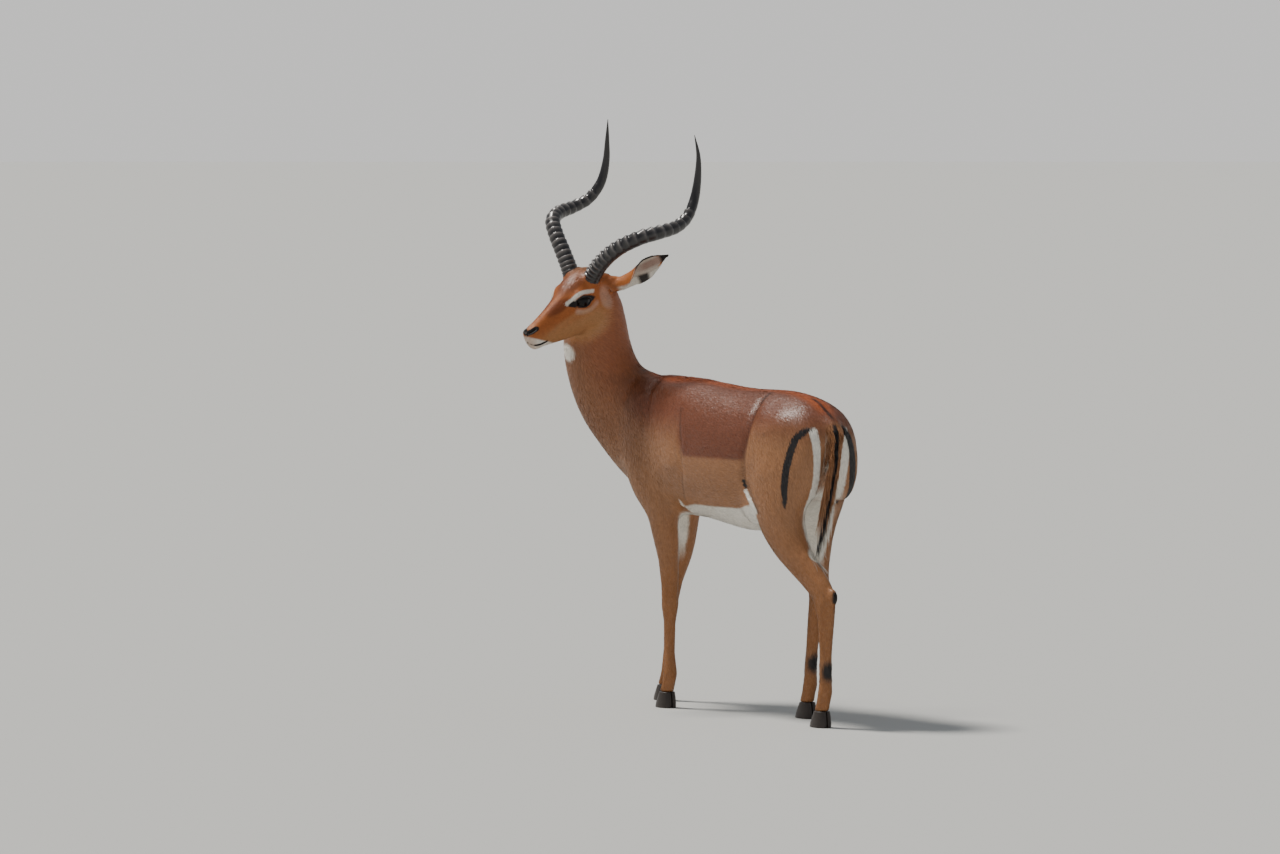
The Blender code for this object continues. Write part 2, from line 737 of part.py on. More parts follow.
# Head: everything above a plane from the throat notch to the nape
HEAD_CUT = Vector((-0.030, 0.0, -0.114))
CUT_UP = (TURN @ Vector((0.243, 0.0, 0.970))).normalized()
CUT_SIDE = TURN @ Vector((0.0, 1.0, 0.0))
CUT_RUN = CUT_SIDE.cross(CUT_UP)
HEAD_HEIGHT = 0.15
NODES.append(part_off(BODY, "head", FRAME @ HEAD_CUT + CUT_UP * HEAD_HEIGHT + CUT_RUN * 0.04,
                      (CUT_RUN, CUT_SIDE, CUT_UP), (0.24, 0.14, HEAD_HEIGHT)))

# Lower legs and cannons
LEG_CUTS = (
    ("foreleg_left", 0.190, 0.10, 0.470, 0.290, 0.120),
    ("foreleg_right", 0.320, -0.10, 0.470, 0.290, 0.120),
    ("hindleg_left", -0.420, 0.10, 0.455, 0.300, 0.160),
    ("hindleg_right", -0.270, -0.10, 0.455, 0.300, 0.140),
)
for label, forward, left, high, low, reach in LEG_CUTS:
    NODES.append(part_off(BODY, label + "_lower",
                          *upright(forward, left, low / 2.0, (reach, 0.098, low / 2.0))))
    middle = (high + low) / 2.0 + GAP
    NODES.append(part_off(BODY, label + "_upper",
                          *upright(forward, left, middle, (reach, 0.098, (high - low) / 2.0))))

# Tail, neck and hindquarters
TAIL_BACK = Vector((0.0, 1.0, -0.03)).normalized()
SIDE = Vector((1.0, 0.0, 0.0))
NODES.append(part_off(BODY, "tail", trunk_point(-0.4575, 0.032, 0.640) + TAIL_BACK * 0.05,
                      (SIDE.cross(TAIL_BACK), SIDE, TAIL_BACK), (0.24, 0.057, 0.05)))
NECK_UP = Vector((0.0, -0.906, 0.42)).normalized()
NODES.append(part_off(BODY, "neck", trunk_point(0.400, 0.0, 0.76) + NECK_UP * 0.25,
                      (SIDE.cross(NECK_UP), SIDE, NECK_UP), (0.30, 0.30, 0.25)))
HIND_BACK = Vector((0.0, 0.98, 0.20)).normalized()
NODES.append(part_off(BODY, "hindquarters", trunk_point(-0.190, 0.0, 0.68) + HIND_BACK * 0.20,
                      (SIDE.cross(HIND_BACK), SIDE, HIND_BACK), (0.30, 0.30, 0.20)))
BODY.name = "trunk"
NODES.append(BODY)

# Middle of the footprint on the origin, soles on the floor
CORNERS = [corner for node in NODES for corner in (v.co for v in node.data.vertices)]
LOW = Vector([min(c[axis] for c in CORNERS) for axis in range(3)])
HIGH = Vector([max(c[axis] for c in CORNERS) for axis in range(3)])
SHIFT = Matrix.Translation((-(LOW.x + HIGH.x) / 2.0, -(LOW.y + HIGH.y) / 2.0, -LOW.z))
for node in NODES:
    keep_largest(node)
    node.data.transform(SHIFT)
    node.data.name = node.name
    face_outward(node)
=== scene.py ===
"""The looks of a life-size impala ram: one skin with its markings, a short coat of mesh tufts,
ringed horns, eyes, hooves, floor, lights and camera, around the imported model."""
import math

import bmesh
import bpy
import numpy as np
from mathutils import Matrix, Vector
from mathutils.bvhtree import BVHTree


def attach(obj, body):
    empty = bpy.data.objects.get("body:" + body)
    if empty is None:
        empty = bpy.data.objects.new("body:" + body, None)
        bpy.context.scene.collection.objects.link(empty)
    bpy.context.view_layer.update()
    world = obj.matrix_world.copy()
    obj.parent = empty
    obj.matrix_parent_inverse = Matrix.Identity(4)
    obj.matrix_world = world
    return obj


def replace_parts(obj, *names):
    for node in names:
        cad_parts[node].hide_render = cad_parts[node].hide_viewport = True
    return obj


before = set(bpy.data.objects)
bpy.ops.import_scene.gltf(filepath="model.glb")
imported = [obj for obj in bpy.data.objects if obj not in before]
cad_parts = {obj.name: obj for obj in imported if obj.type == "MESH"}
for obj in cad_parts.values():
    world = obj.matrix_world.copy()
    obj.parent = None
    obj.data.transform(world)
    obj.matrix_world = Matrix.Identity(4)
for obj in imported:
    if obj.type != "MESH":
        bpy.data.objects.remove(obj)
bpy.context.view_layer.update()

RNG = np.random.default_rng(11)
SIDES = ((1.0, "left"), (-1.0, "right"))
PATCH = 0.003  # size of a tuft on the unwrapped skin

# ---- places and sizes, metres
# Body places are (forward, left, up) from the point under the middle of the trunk.
BODY_SHIFT = np.array((-0.11224, 0.05703))
HEAD_ORIGIN = (0.19, -0.445, 1.07)  # between the eyes, before the shift
HEAD_FORWARD = Vector((0.893, 0.138, -0.429))
HEAD_LEFT = Vector((-0.211, 0.969, -0.126))
HIND = -0.2  # the hind legs stand behind this
GLAND_HEIGHT = 0.148

VOXEL = 0.0025  # grain of the skin
SOLID_MARGIN = 0.0006  # how far the solids are grown so that they join
COAT_DEPTH = 0.0022  # how far the skin lies under the coat's surface
TAIL_DEPTH = 0.0055  # the same under the locks of the tail
TORSO_ROUNDS = 60  # spreading passes that melt the solids' facets on the torso
SKIN_TRIANGLES = 195000  # what the finished skin keeps

EYE_CENTRE = (0.004, 0.0385, 0.009)
EYE_RADIUS = 0.0215
HORN = (
    (-0.046, 0.033, 0.04), (-0.056, 0.046, 0.062), (-0.074, 0.074, 0.096), (-0.1, 0.113, 0.126),
    (-0.14, 0.156, 0.142), (-0.19, 0.181, 0.137), (-0.25, 0.186, 0.124), (-0.308, 0.177, 0.124),
    (-0.355, 0.168, 0.152), (-0.388, 0.165, 0.2), (-0.409, 0.164, 0.255), (-0.42, 0.156, 0.31),
)
HORN_BASE_RADIUS = 0.0232
HORN_RINGS = 560
HORN_SIDES = 40
HORN_RIDGES = 22
HORN_RIDGED_SHARE = 0.7
HORN_RIDGE_HEIGHT = 0.005
HORN_CREST = 0.74  # where a ridge is highest, along its run
HORN_FADE = (0.62, 0.71)  # where the ridges give way to the smooth tip

# Ears: root, run and opening in the head frame
EARS = {
    "ear_left": ((-0.079, 0.051, 0.017), (-0.767, 0.611, 0.196), (0.69, 0.7, -0.16)),
    "ear_right": ((-0.084, -0.05, 0.01), (-0.76, -0.45, -0.52), (0.35, -0.9, 0.25)),
}
EAR_LENGTH = 0.197
EAR_ROLL = 52.0  # degrees that the root of the cup is rolled down from its tip
EAR_THICKNESS = 0.0052
# Ear sections: share of the length, half width, half angle of the curl in degrees
EAR = (
    (0.02, 0.016, 150.0), (0.14, 0.022, 130.0), (0.28, 0.033, 98.0), (0.44, 0.043, 76.0),
    (0.6, 0.041, 62.0), (0.76, 0.03, 48.0), (0.9, 0.014, 36.0), (0.99, 0.003, 25.0),
)
EAR_SHARES, EAR_WIDTHS, EAR_CURLS = np.array(EAR).T

# Feet: forward and left of each hoof's middle
FEET = {
    "fore_left": (0.203, 0.06),
    "fore_right": (0.373, -0.058),
    "hind_left": (-0.469, 0.06),
    "hind_right": (-0.25, -0.06),
}
# Half of a cloven hoof: height, toe, heel, half width
CLAW = (
    (0.0, 0.037, -0.025, 0.0096), (0.0015, 0.0385, -0.0262, 0.0106), (0.014, 0.034, -0.0262, 0.0108),
    (0.028, 0.026, -0.0245, 0.0105), (0.042, 0.0175, -0.0215, 0.0098),
)
CLAW_SPLIT = 0.0012

TAIL = (
    (-0.434, 0.0, 0.784), (-0.46, 0.004, 0.758), (-0.471, 0.014, 0.71), (-0.474, 0.03, 0.645),
    (-0.473, 0.045, 0.575), (-0.466, 0.055, 0.505), (-0.458, 0.06, 0.452),
)

# Markings and folds in body places, on the left side
RUMP_STRIPE = (
    (-0.44, 0.052, 0.773), (-0.424, 0.08, 0.765), (-0.405, 0.095, 0.743), (-0.394, 0.107, 0.704),
    (-0.388, 0.115, 0.665), (-0.386, 0.119, 0.62), (-0.389, 0.121, 0.568),
)
# the right one, by left and up alone
RUMP_STRIPE_RIGHT = (
    (0.0, 0.773), (-0.028, 0.765), (-0.045, 0.743), (-0.057, 0.704), (-0.063, 0.665), (-0.067, 0.62),
    (-0.069, 0.568),
)
BEHIND_ARM = ((0.106, 0.084, 0.56), (0.116, 0.078, 0.52), (0.128, 0.07, 0.47))
FLANK_FOLD = ((-0.224, 0.125, 0.598), (-0.245, 0.126, 0.575), (-0.275, 0.127, 0.548))
FLANK_SPOT = ((-0.216, 0.124, 0.622), (-0.223, 0.124, 0.609))
CROUP_LINE = ((-0.35, 0.0, 0.84), (-0.4, 0.003, 0.815), (-0.43, 0.004, 0.795),
              (-0.452, 0.004, 0.77))
HOCKS = (
    ((-0.54, 0.066, 0.362), (-0.538, 0.066, 0.33)),
    ((-0.322, -0.06, 0.362), (-0.32, -0.06, 0.33)),
)
# Edges and masses of shoulder and thigh, and folds of the turned neck
SHOULDER_EDGE = ((0.092, 0.097, 0.8), (0.055, 0.125, 0.717), (0.042, 0.132, 0.639),
                 (0.073, 0.098, 0.557))
SHOULDER_MASS = ((0.15, 0.105, 0.78), (0.115, 0.128, 0.7), (0.105, 0.125, 0.62))
THIGH_EDGE = ((-0.217, 0.035, 0.85), (-0.224, 0.083, 0.816), (-0.227, 0.111, 0.768),
              (-0.225, 0.125, 0.711), (-0.221, 0.128, 0.667), (-0.221, 0.125, 0.623),
              (-0.244, 0.126, 0.591), (-0.287, 0.13, 0.547))
THIGH_SWELL = ((-0.262, 0.075, 0.826), (-0.262, 0.107, 0.77), (-0.262, 0.125, 0.711),
               (-0.262, 0.128, 0.65))
THIGH_MASS = ((-0.29, 0.11, 0.78), (-0.3, 0.128, 0.7), (-0.32, 0.13, 0.62))
NECK_FOLDS = (
    ((0.325, 0.057, 0.871), (0.329, 0.08, 0.853), (0.334, 0.097, 0.827), (0.337, 0.104, 0.801)),
    ((0.26, 0.016, 0.873), (0.269, 0.039, 0.863), (0.267, 0.06, 0.845), (0.255, 0.085, 0.812),
     (0.252, 0.097, 0.765), (0.259, 0.102, 0.733)),
)
# Lines of the face in the head frame, on the left side
CHEEK_BAND = ((-0.005, 0.056, -0.022), (0.045, 0.044, -0.014), (0.095, 0.034, -0.02),
              (0.135, 0.028, -0.03))
BROW = ((0.052, 0.031, 0.022), (0.043, 0.035, 0.026), (0.031, 0.042, 0.034), (0.018, 0.047, 0.037),
        (0.004, 0.051, 0.037), (-0.012, 0.052, 0.031), (-0.028, 0.055, 0.024))
BELOW_EYE = ((0.034, 0.044, -0.008), (0.016, 0.052, -0.017), (-0.006, 0.057, -0.02),
             (-0.03, 0.058, -0.012))
MUZZLE_BULGE = ((0.15, 0.02, -0.02), (0.17, 0.02, -0.016), (0.19, 0.012, -0.016))
NOSTRIL = ((0.192, 0.002, 0.001), (0.184, 0.014, 0.005), (0.166, 0.018, 0.007))
PHILTRUM = ((0.2, 0.0, 0.0), (0.203, 0.0, -0.012), (0.196, 0.0, -0.026))
MOUTH = ((0.199, 0.0, -0.027), (0.19, 0.014, -0.036), (0.172, 0.02, -0.041), (0.146, 0.024, -0.044))
# Opening of the lids as arcs on the eyeball, and black skin round the eye: how far each
# goes to the front, the rear, up and down, and its shape, pointed at the corners below 2
LIDS = (0.0265, 0.024, 0.0128, 0.0115, 1.55)
ALMOND = (0.047, 0.037, 0.0165, 0.017, 1.3)
# Rim of the lids: how far out from the opening along the ball, and height over the ball
LID_PROFILE = ((0.0062, -0.002), (0.0046, 0.0006), (0.0032, 0.0021), (0.0019, 0.0029),
               (0.0009, 0.0029), (0.0002, 0.0022), (-0.0002, 0.0012), (-0.0002, -0.0008))
EYE_OUT = (0.45, 0.87, 0.2)  # the way that the eye looks
EYE_BULGE = 0.0009  # how far its middle stands out
PUPIL_LONG = 0.42  # half sizes of the pupil, as shares of the eyeball's
PUPIL_HIGH = 0.22
FAR = 99.0  # the measure given to places away from the eye


# ---- frames
def head_axes():
    """Forward, left and up of the head as rows."""
    forward = HEAD_FORWARD.normalized()
    left = (HEAD_LEFT - forward * HEAD_LEFT.dot(forward)).normalized()
    return np.array((forward, left, forward.cross(left)))


HEAD_AXES = head_axes()
HEAD_AT = np.array(HEAD_ORIGIN) + np.array((*BODY_SHIFT, 0.0))


def from_body(points):
    """Body places to the model's own places."""
    points = np.atleast_2d(np.asarray(points, float))
    return np.stack((points[:, 1] + BODY_SHIFT[0], BODY_SHIFT[1] - points[:, 0], points[:, 2]), 1)


def to_body(points):
    return np.stack((BODY_SHIFT[1] - points[:, 1], points[:, 0] - BODY_SHIFT[0], points[:, 2]), 1)


def turn_from_body(turns):
    turns = np.atleast_2d(np.asarray(turns, float))
    return np.stack((turns[:, 1], -turns[:, 0], turns[:, 2]), 1)


def from_head(points):
    return np.atleast_2d(np.asarray(points, float)) @ HEAD_AXES + HEAD_AT


def to_head(points):
    return (points - HEAD_AT) @ HEAD_AXES.T


def turn_from_head(turns):
    return np.atleast_2d(np.asarray(turns, float)) @ HEAD_AXES


def lengths(rows):
    return np.linalg.norm(rows, axis=1)


def unit(rows):
    return rows / np.maximum(lengths(rows)[:, None], 1e-9)


def ramp(values, low, high):
    """Smooth step from 0 at low to 1 at high."""
    t = np.clip((values - low) / (high - low), 0.0, 1.0)
    return t * t * (3.0 - 2.0 * t)


def fall(values, low, high):
    """Smooth step from 1 at low to 0 at high."""
    return 1.0 - ramp(values, low, high)


def dots(one, two):
    """Products of directions, row by row."""
    return np.einsum("ij,ij->i", one, two)


def squared(turn, axis):
    """The unit direction nearest to turn that is square to axis."""
    turn = turn - axis * turn.dot(axis)
    return turn / np.linalg.norm(turn)


def on_side(place, side):
    """A place of the left side, or its twin on the right when side is -1."""
    return place[0], place[1] * side, place[2]


def folded(places):
    """Places with the right side laid on the left."""
    return np.stack((places[:, 0], np.abs(places[:, 1]), places[:, 2]), 1)


def folded_body(points):
    return folded(to_body(points))


def folded_head(points):
    return folded(to_head(points))


def along_line(points, line):
    """Distance from each point to a polyline, and the share of its run at the nearest place."""
    line = np.asarray(line, float)
    steps = lengths(np.diff(line, axis=0))
    before = np.concatenate(([0.0], np.cumsum(steps)))
    best = np.full(len(points), np.inf)
    share = np.zeros(len(points))
    for index, step in enumerate(steps):
        start = line[index]
        run = line[index + 1] - start
        t = np.clip((points - start) @ run / step ** 2, 0.0, 1.0)
        away = lengths(points - start - t[:, None] * run)
        nearer = away < best
        best = np.where(nearer, away, best)
        share = np.where(nearer, (before[index] + t * step) / before[-1], share)
    return best, share


# ---- meshes
def make_mesh(name, points, faces):
    """Mesh object from points and equal-sided faces, or a list of such arrays."""
    groups = faces if isinstance(faces, list) else [faces]
    corners = np.concatenate([group.ravel() for group in groups])
    sizes = np.concatenate([np.full(len(group), group.shape[1]) for group in groups])
    starts = np.concatenate(([0], np.cumsum(sizes)[:-1]))
    mesh = bpy.data.meshes.new(name)
    mesh.vertices.add(len(points))
    mesh.vertices.foreach_set("co", np.asarray(points, np.float32).ravel())
    mesh.loops.add(len(corners))
    mesh.loops.foreach_set("vertex_index", corners.astype(np.int32))
    mesh.polygons.add(len(sizes))
    mesh.polygons.foreach_set("loop_start", starts.astype(np.int32))
    mesh.update(calc_edges=True)
    mesh.shade_smooth()
    made = bpy.data.objects.new(name, mesh)
    bpy.context.scene.collection.objects.link(made)
    return made


def read(rows, key, width, kind=float):
    """A value of every row of a mesh, in this many columns."""
    values = np.empty(len(rows) * width, np.float32 if kind is float else kind)
    rows.foreach_get(key, values)
    return values.reshape(-1, width).astype(kind)


def points_of(mesh):
    return read(mesh.vertices, "co", 3)


def normals_of(mesh):
    return read(mesh.vertices, "normal", 3)


def set_points(mesh, points):
    mesh.vertices.foreach_set("co", points.astype(np.float32).ravel())
    mesh.update()


def spread(values, edges, weight, rounds):
    """Each row drifts towards the mean of its neighbours."""
    one = edges[:, 0]
    two = edges[:, 1]
    count = len(values)
    degree = np.maximum(np.bincount(one, minlength=count) + np.bincount(two, minlength=count), 1)
    share = (weight / degree)[:, None]
    keep = (1.0 - weight)[:, None]
    for _ in range(rounds):
        total = np.stack([np.bincount(one, values[two, axis], count)
                          + np.bincount(two, values[one, axis], count) for axis in range(3)], 1)
        values = values * keep + total * share
    return values


def grid_faces(rows, columns, closed):
    """Quads over a grid of rows by columns; closed wraps the columns."""
    row, column = np.meshgrid(np.arange(rows - 1), np.arange(columns - (0 if closed else 1)),
                              indexing="ij")
    after = (column + 1) % columns
    quads = np.stack((row * columns + column, row * columns + after,
                      (row + 1) * columns + after, (row + 1) * columns + column), -1)
    return quads.reshape(-1, 4)


def closed_tube(rings, first, last):
    """Points and faces of a tube through the rings, closed over a point at each end."""
    columns = len(rings[0])
    ring = np.arange(columns)
    after = (ring + 1) % columns
    top = len(rings) * columns
    end = top - columns
    caps = np.concatenate((np.stack((after, ring, np.full(columns, top)), 1),
                           np.stack((ring + end, after + end, np.full(columns, top + 1)), 1)))
    return np.concatenate((*rings, [first], [last])), [grid_faces(len(rings), columns, True), caps]


def ball(centre, radius, rows=24, columns=36):
    """Points and faces of a sphere."""
    polar = np.linspace(0.0, math.pi, rows)[:, None]
    turn = np.linspace(0.0, 2.0 * math.pi, columns, endpoint=False)[None, :]
    points = np.stack((np.sin(polar) * np.cos(turn), np.sin(polar) * np.sin(turn),
                       np.cos(polar) * np.ones_like(turn)), -1).reshape(-1, 3)
    return points * radius + np.asarray(centre), grid_faces(rows, columns, True)


def smooth_path(points, count):
    """Even spread of points on a Catmull-Rom curve."""
    points = np.asarray(points, float)
    ends = np.concatenate((points[:1] * 2 - points[1:2], points, points[-1:] * 2 - points[-2:-1]))
    t = np.linspace(0.0, 1.0, 16, endpoint=False)[:, None]
    fine = []
    for index in range(1, len(ends) - 2):
        a, b, c, d = ends[index - 1:index + 3]
        fine.append(0.5 * (2 * b + (c - a) * t + (2 * a - 5 * b + 4 * c - d) * t ** 2
                           + (3 * b - a - 3 * c + d) * t ** 3))
    fine = np.concatenate(fine + [points[-1:]])
    run = np.concatenate(([0.0], np.cumsum(lengths(np.diff(fine, axis=0)))))
    even = np.linspace(0.0, run[-1], count)
    return np.stack([np.interp(even, run, fine[:, axis]) for axis in range(3)], 1)


# ---- colours
def tone(red, green, blue):
    """Linear colour of an sRGB one, each 0 to 255."""
    values = np.array((red, green, blue)) / 255.0
    return np.where(values <= 0.04045, values / 12.92, ((values + 0.055) / 1.055) ** 2.4)


SADDLE = tone(114, 62, 38)
FLANK = tone(162, 112, 74)
NECK = tone(146, 96, 62)
NAPE = tone(158, 88, 48)
# orange of the withers' ruffle, also laid along the back line as a painted rim light
WITHERS_AND_RIM_LIGHT = tone(190, 92, 36)
SHANK = tone(160, 108, 68)
BELLY = tone(240, 234, 222)
BLACK = tone(26, 20, 20)
FACE = tone(176, 100, 50)
FOREHEAD = tone(146, 80, 42)
CHEEK = tone(184, 134, 90)
EAR_BACK = tone(192, 112, 54)
EAR_INSIDE = tone(214, 200, 186)
EAR_SKIN = tone(150, 112, 98)
# darker brown of the painted shade on the sides of the nose
NOSE_SIDE_SHADE = tone(120, 60, 34)
NOSE = tone(190, 128, 88)
HORN_DARK = tone(24, 20, 22)
HORN_WEAR_AND_HIGHLIGHT = tone(150, 143, 140)
HOOF = tone(52, 44, 40)
IRIS = tone(16, 10, 8)
PUPIL = tone(8, 8, 12)
EYE_RIM = tone(22, 14, 12)


def blended(colour, other, mask):
    return colour + (other - colour) * mask[:, None]


def brush(colour):
    """A function that lays another colour over these, as far as its mask says."""
    def lay(other, mask):
        colour[:] = blended(colour, other, mask)
    return lay


def paint(mesh, colours):
    """Colours on the points of a mesh, where the surfaces look for them."""
    layer = mesh.color_attributes.new("coat", "FLOAT_COLOR", "POINT")
    values = np.concatenate((colours, np.ones((len(colours), 1))), 1)
    layer.data.foreach_set("color", values.astype(np.float32).ravel())


def near(points, line, width, soft):
    """1 on a polyline's band, falling to 0 over soft."""
    return fall(along_line(points, line)[0], width - soft / 2, width + soft / 2)


def spot(points, centre, radii):
    """1 at the middle of an ellipsoid, 0 at its rim."""
    away = lengths((points - np.array(centre)) / np.array(radii))
    return fall(away, 0.6, 1.1)


def markings(points, facing):
    """Colour of the coat at model places with outward directions."""
    body = to_body(points)
    f, l, z = body.T
    side = np.abs(l)
    head = to_head(points)
    hf, _, hu = head.T
    half_body = folded(body)
    half_head = folded(head)
    colour = np.tile(FLANK, (len(points), 1))
    lay = brush(colour)

    # saddle: sharp lower edge behind the elbow, soft on shoulder and haunch
    fore = ramp(f, 0.03, 0.095)
    hind = ramp(-f, 0.21, 0.24)
    edge = 0.677 + 0.06 * fore + 0.08 * hind
    soft = 0.007 + 0.055 * fore + 0.045 * hind
    lay(SADDLE, ramp(z, edge - soft, edge + soft))

    # neck and back line
    neck = ramp(f - 0.7 * (z - 0.78), 0.24, 0.38) * ramp(z, 0.6, 0.78)
    neck = np.maximum(neck, ramp(z + 0.4 * (f - 0.24), 0.87, 0.965))
    lay(NECK, neck)
    lay(NAPE, neck * ramp(facing[:, 1], 0.1, 0.8) * 0.8)
    # the withers' ruffle in its own orange, and the same orange along the back line as a painted rim
    # light
    ruffle = spot(body, (0.2, 0.0, 0.885), (0.12, 0.05, 0.07))
    ridge = fall(side, 0.012, 0.04) * ramp(z, 0.79, 0.83) * fall(f, 0.3, 0.36)
    lay(WITHERS_AND_RIM_LIGHT, np.maximum(ruffle, 0.65 * ridge))

    # legs
    lay(SHANK, ramp(0.53 - z, 0.0, 0.06))

    # white belly, inner legs, and breast between the legs
    rim = 0.549 + 0.014 * ramp(-f, 0.16, 0.26) - 0.008 * ramp(f, 0.02, 0.1)
    behind_arm = 1.0 - ramp(f, 0.1, 0.108) * ramp(side, 0.035, 0.055)
    thigh = ramp(f + 0.265 + 0.26 * (0.571 - z), -0.006, 0.006)
    before_thigh = 1.0 - (1.0 - thigh) * ramp(side, 0.075, 0.095)
    under = fall(z - rim, -0.003, 0.003) * ramp(f, -0.36, -0.3) * behind_arm * before_thigh
    lay(BELLY, under * ramp(z, 0.47, 0.5) * fall(f, 0.15, 0.2))
    lay(BELLY, near(half_body, FLANK_FOLD, 0.007, 0.004))
    lay(BELLY, near(half_body, BEHIND_ARM, 0.007, 0.005))
    inward = -np.sign(l) * facing[:, 0]
    inside = ramp(inward, 0.15, 0.6) * fall(z, 0.52, 0.56) * fall(side, 0.085, 0.1)
    fore_inner = inside * ramp(inward, 0.3, 0.7) * ramp(f, 0.05, 0.1) * ramp(z, 0.37, 0.45)
    hind_inner = inside * fall(f, -0.2, -0.15) * ramp(z, 0.36, 0.46)
    lay(BELLY, np.maximum(fore_inner, hind_inner))
    lay(BELLY, ramp(-facing[:, 2], 0.2, 0.6) * fall(z, 0.56, 0.62) * ramp(z, 0.42, 0.46)
        * fall(side, 0.04, 0.06))
    lay(BLACK, near(half_body, FLANK_SPOT, 0.0065, 0.004))

    # rump: white beside the tail, a black stripe on each side and one down the croup
    strips = np.maximum(fall(np.abs(l - 0.06), 0.008, 0.012), fall(np.abs(l + 0.024), 0.018, 0.024))
    lower = fall(np.abs(l - 0.01), 0.05, 0.056) * fall(z, 0.585, 0.625)
    rump = fall(f, -0.4, -0.37) * fall(z, 0.762, 0.772) * ramp(z, 0.52, 0.56)
    lay(BELLY, rump * np.maximum(strips, lower))
    for line, places in ((RUMP_STRIPE, body), (RUMP_STRIPE_RIGHT, body[:, 1:])):
        away, share = along_line(places, line)
        width = 0.004 + 0.0078 * np.sin(np.pi * np.clip(share * 0.92 + 0.05, 0.0, 1.0)) ** 0.7
        lay(BLACK, fall(away, width - 0.0015, width + 0.0015) * fall(f, -0.36, -0.34))
    lay(BLACK, 0.85 * near(body, CROUP_LINE, 0.005, 0.006))

    # tail: black line down its left rear, tan beside it above, white edges and tip
    away, share = along_line(body, TAIL)
    stations = np.linspace(0.0, 1.0, len(TAIL))
    tail_f, tail_l = (np.interp(share, stations, np.array(TAIL)[:, axis]) for axis in (0, 1))
    on_tail = fall(away, 0.026, 0.032) * ramp(share, 0.02, 0.08)
    turn = np.arctan2(l - tail_l, tail_f - f)
    turn = turn - np.radians(np.interp(share, (0.1, 0.4, 0.9), (36.0, 42.0, 66.0)))
    aside = np.abs(np.arctan2(np.sin(turn), np.cos(turn))) * 0.02
    lay(BELLY, on_tail * ramp(share, 0.1, 0.16))
    reach = 0.04 - 0.026 * ramp(share, 0.45, 0.75)
    tan = fall(aside, reach - 0.003, reach + 0.003) * fall(share, 0.62, 0.82)
    lay(FLANK, on_tail * tan)
    lay(BLACK, on_tail * fall(aside, 0.0055, 0.0085))

    # glands above the hind fetlocks, and hock patches
    rearward = facing @ turn_from_body((-1.0, 0.0, 0.0))[0]
    gland = fall(np.abs(z - GLAND_HEIGHT) + 0.012 * (1.0 - rearward), 0.012, 0.034) * (f < HIND)
    lay(BLACK, gland * ramp(rearward, 0.0, 0.55))
    for line in HOCKS:
        lay(BLACK, near(body, line, 0.01, 0.008))

    # head: pale cheeks with a band from the eye to the mouth, a dark forehead, and painted shade on the
    # sides of the nose
    away = lengths((head - (0.04, 0.0, -0.02)) / (1.25, 1.0, 0.75))
    on_head = fall(away, 0.105, 0.14)
    on_head = on_head * ramp(hf + 0.5 * hu, -0.12, -0.06)
    lay(FACE, on_head)
    lay(CHEEK, on_head * ramp(-hu, 0.0, 0.045) * ramp(hf, -0.1, -0.02) * 0.9)
    lay(CHEEK, on_head * near(half_head, CHEEK_BAND, 0.006, 0.014) * 0.7)
    lay(FOREHEAD, on_head * spot(head, (0.0, 0.0, 0.06), (0.075, 0.045, 0.036)))
    # painted shade: a darker brown down each side of the nose
    nose_side_shade = spot(half_head, (0.085, 0.022, 0.024), (0.055, 0.02, 0.018))
    lay(NOSE_SIDE_SHADE, 0.75 * on_head * nose_side_shade)
    lay(NOSE, on_head * spot(head, (0.18, 0.0, 0.012), (0.026, 0.022, 0.014)) * 0.8)
    # white: lips, brow, below the eye, before the ear, and throat
    lay(BELLY, on_head * fall(hu + 0.73 * (0.185 - hf), -0.018, -0.011) * ramp(hf, 0.04, 0.09))
    lay(BELLY, 0.95 * on_head * near(half_head, BROW, 0.0068, 0.004))
    lay(BELLY, 0.28 * on_head * near(half_head, BELOW_EYE, 0.006, 0.014))
    lay(BELLY, 0.18 * spot(half_head, (-0.062, 0.058, -0.01), (0.02, 0.034, 0.038)))
    lay(BELLY, spot(head, (0.028, -0.034, -0.146), (0.034, 0.034, 0.025)))
    # black: lids and corners of the eyes, nostrils, middle of the nose and mouth
    for hand in (1.0, -1.0):
        lay(BLACK, fall(almond(points, hand), 0.94, 1.06))
    for line, width, soft in ((NOSTRIL, 0.0082, 0.002), (PHILTRUM, 0.004, 0.0016),
                              (MOUTH, 0.004, 0.0016)):
        lay(BLACK, near(half_head, line, width, soft))
    # painted shade: darker lines along the folds of neck, thigh and shoulder, where shade falls in the
    # creases
    for fold in NECK_FOLDS:
        colour *= (1.0 - 0.45 * near(body, fold, 0.002, 0.005))[:, None]
    colour *= (1.0 - 0.55 * near(half_body, THIGH_EDGE, 0.006, 0.01))[:, None]
    colour *= (1.0 - 0.35 * near(half_body, SHOULDER_EDGE, 0.003, 0.007))[:, None]
    return colour


def ear_frame(name):
    """Root of the ear, its run, and out of and across its cup at the tip."""
    root, run, opening = EARS[name]
    along = unit(turn_from_head(run))[0]
    out = squared(turn_from_head(opening)[0], along)
    return from_head(root)[0], along, out, np.cross(along, out)


def ear_turn(name, share):
    """Across and out of the cup at shares of its length: the root is rolled down."""
    _, _, out, across = ear_frame(name)
    roll = np.radians(EAR_ROLL * fall(share, 0.24, 0.66)) * np.sign(across[2])
    c = np.cos(roll)[:, None]
    s = np.sin(roll)[:, None]
    return across * c + out * s, out * c - across * s


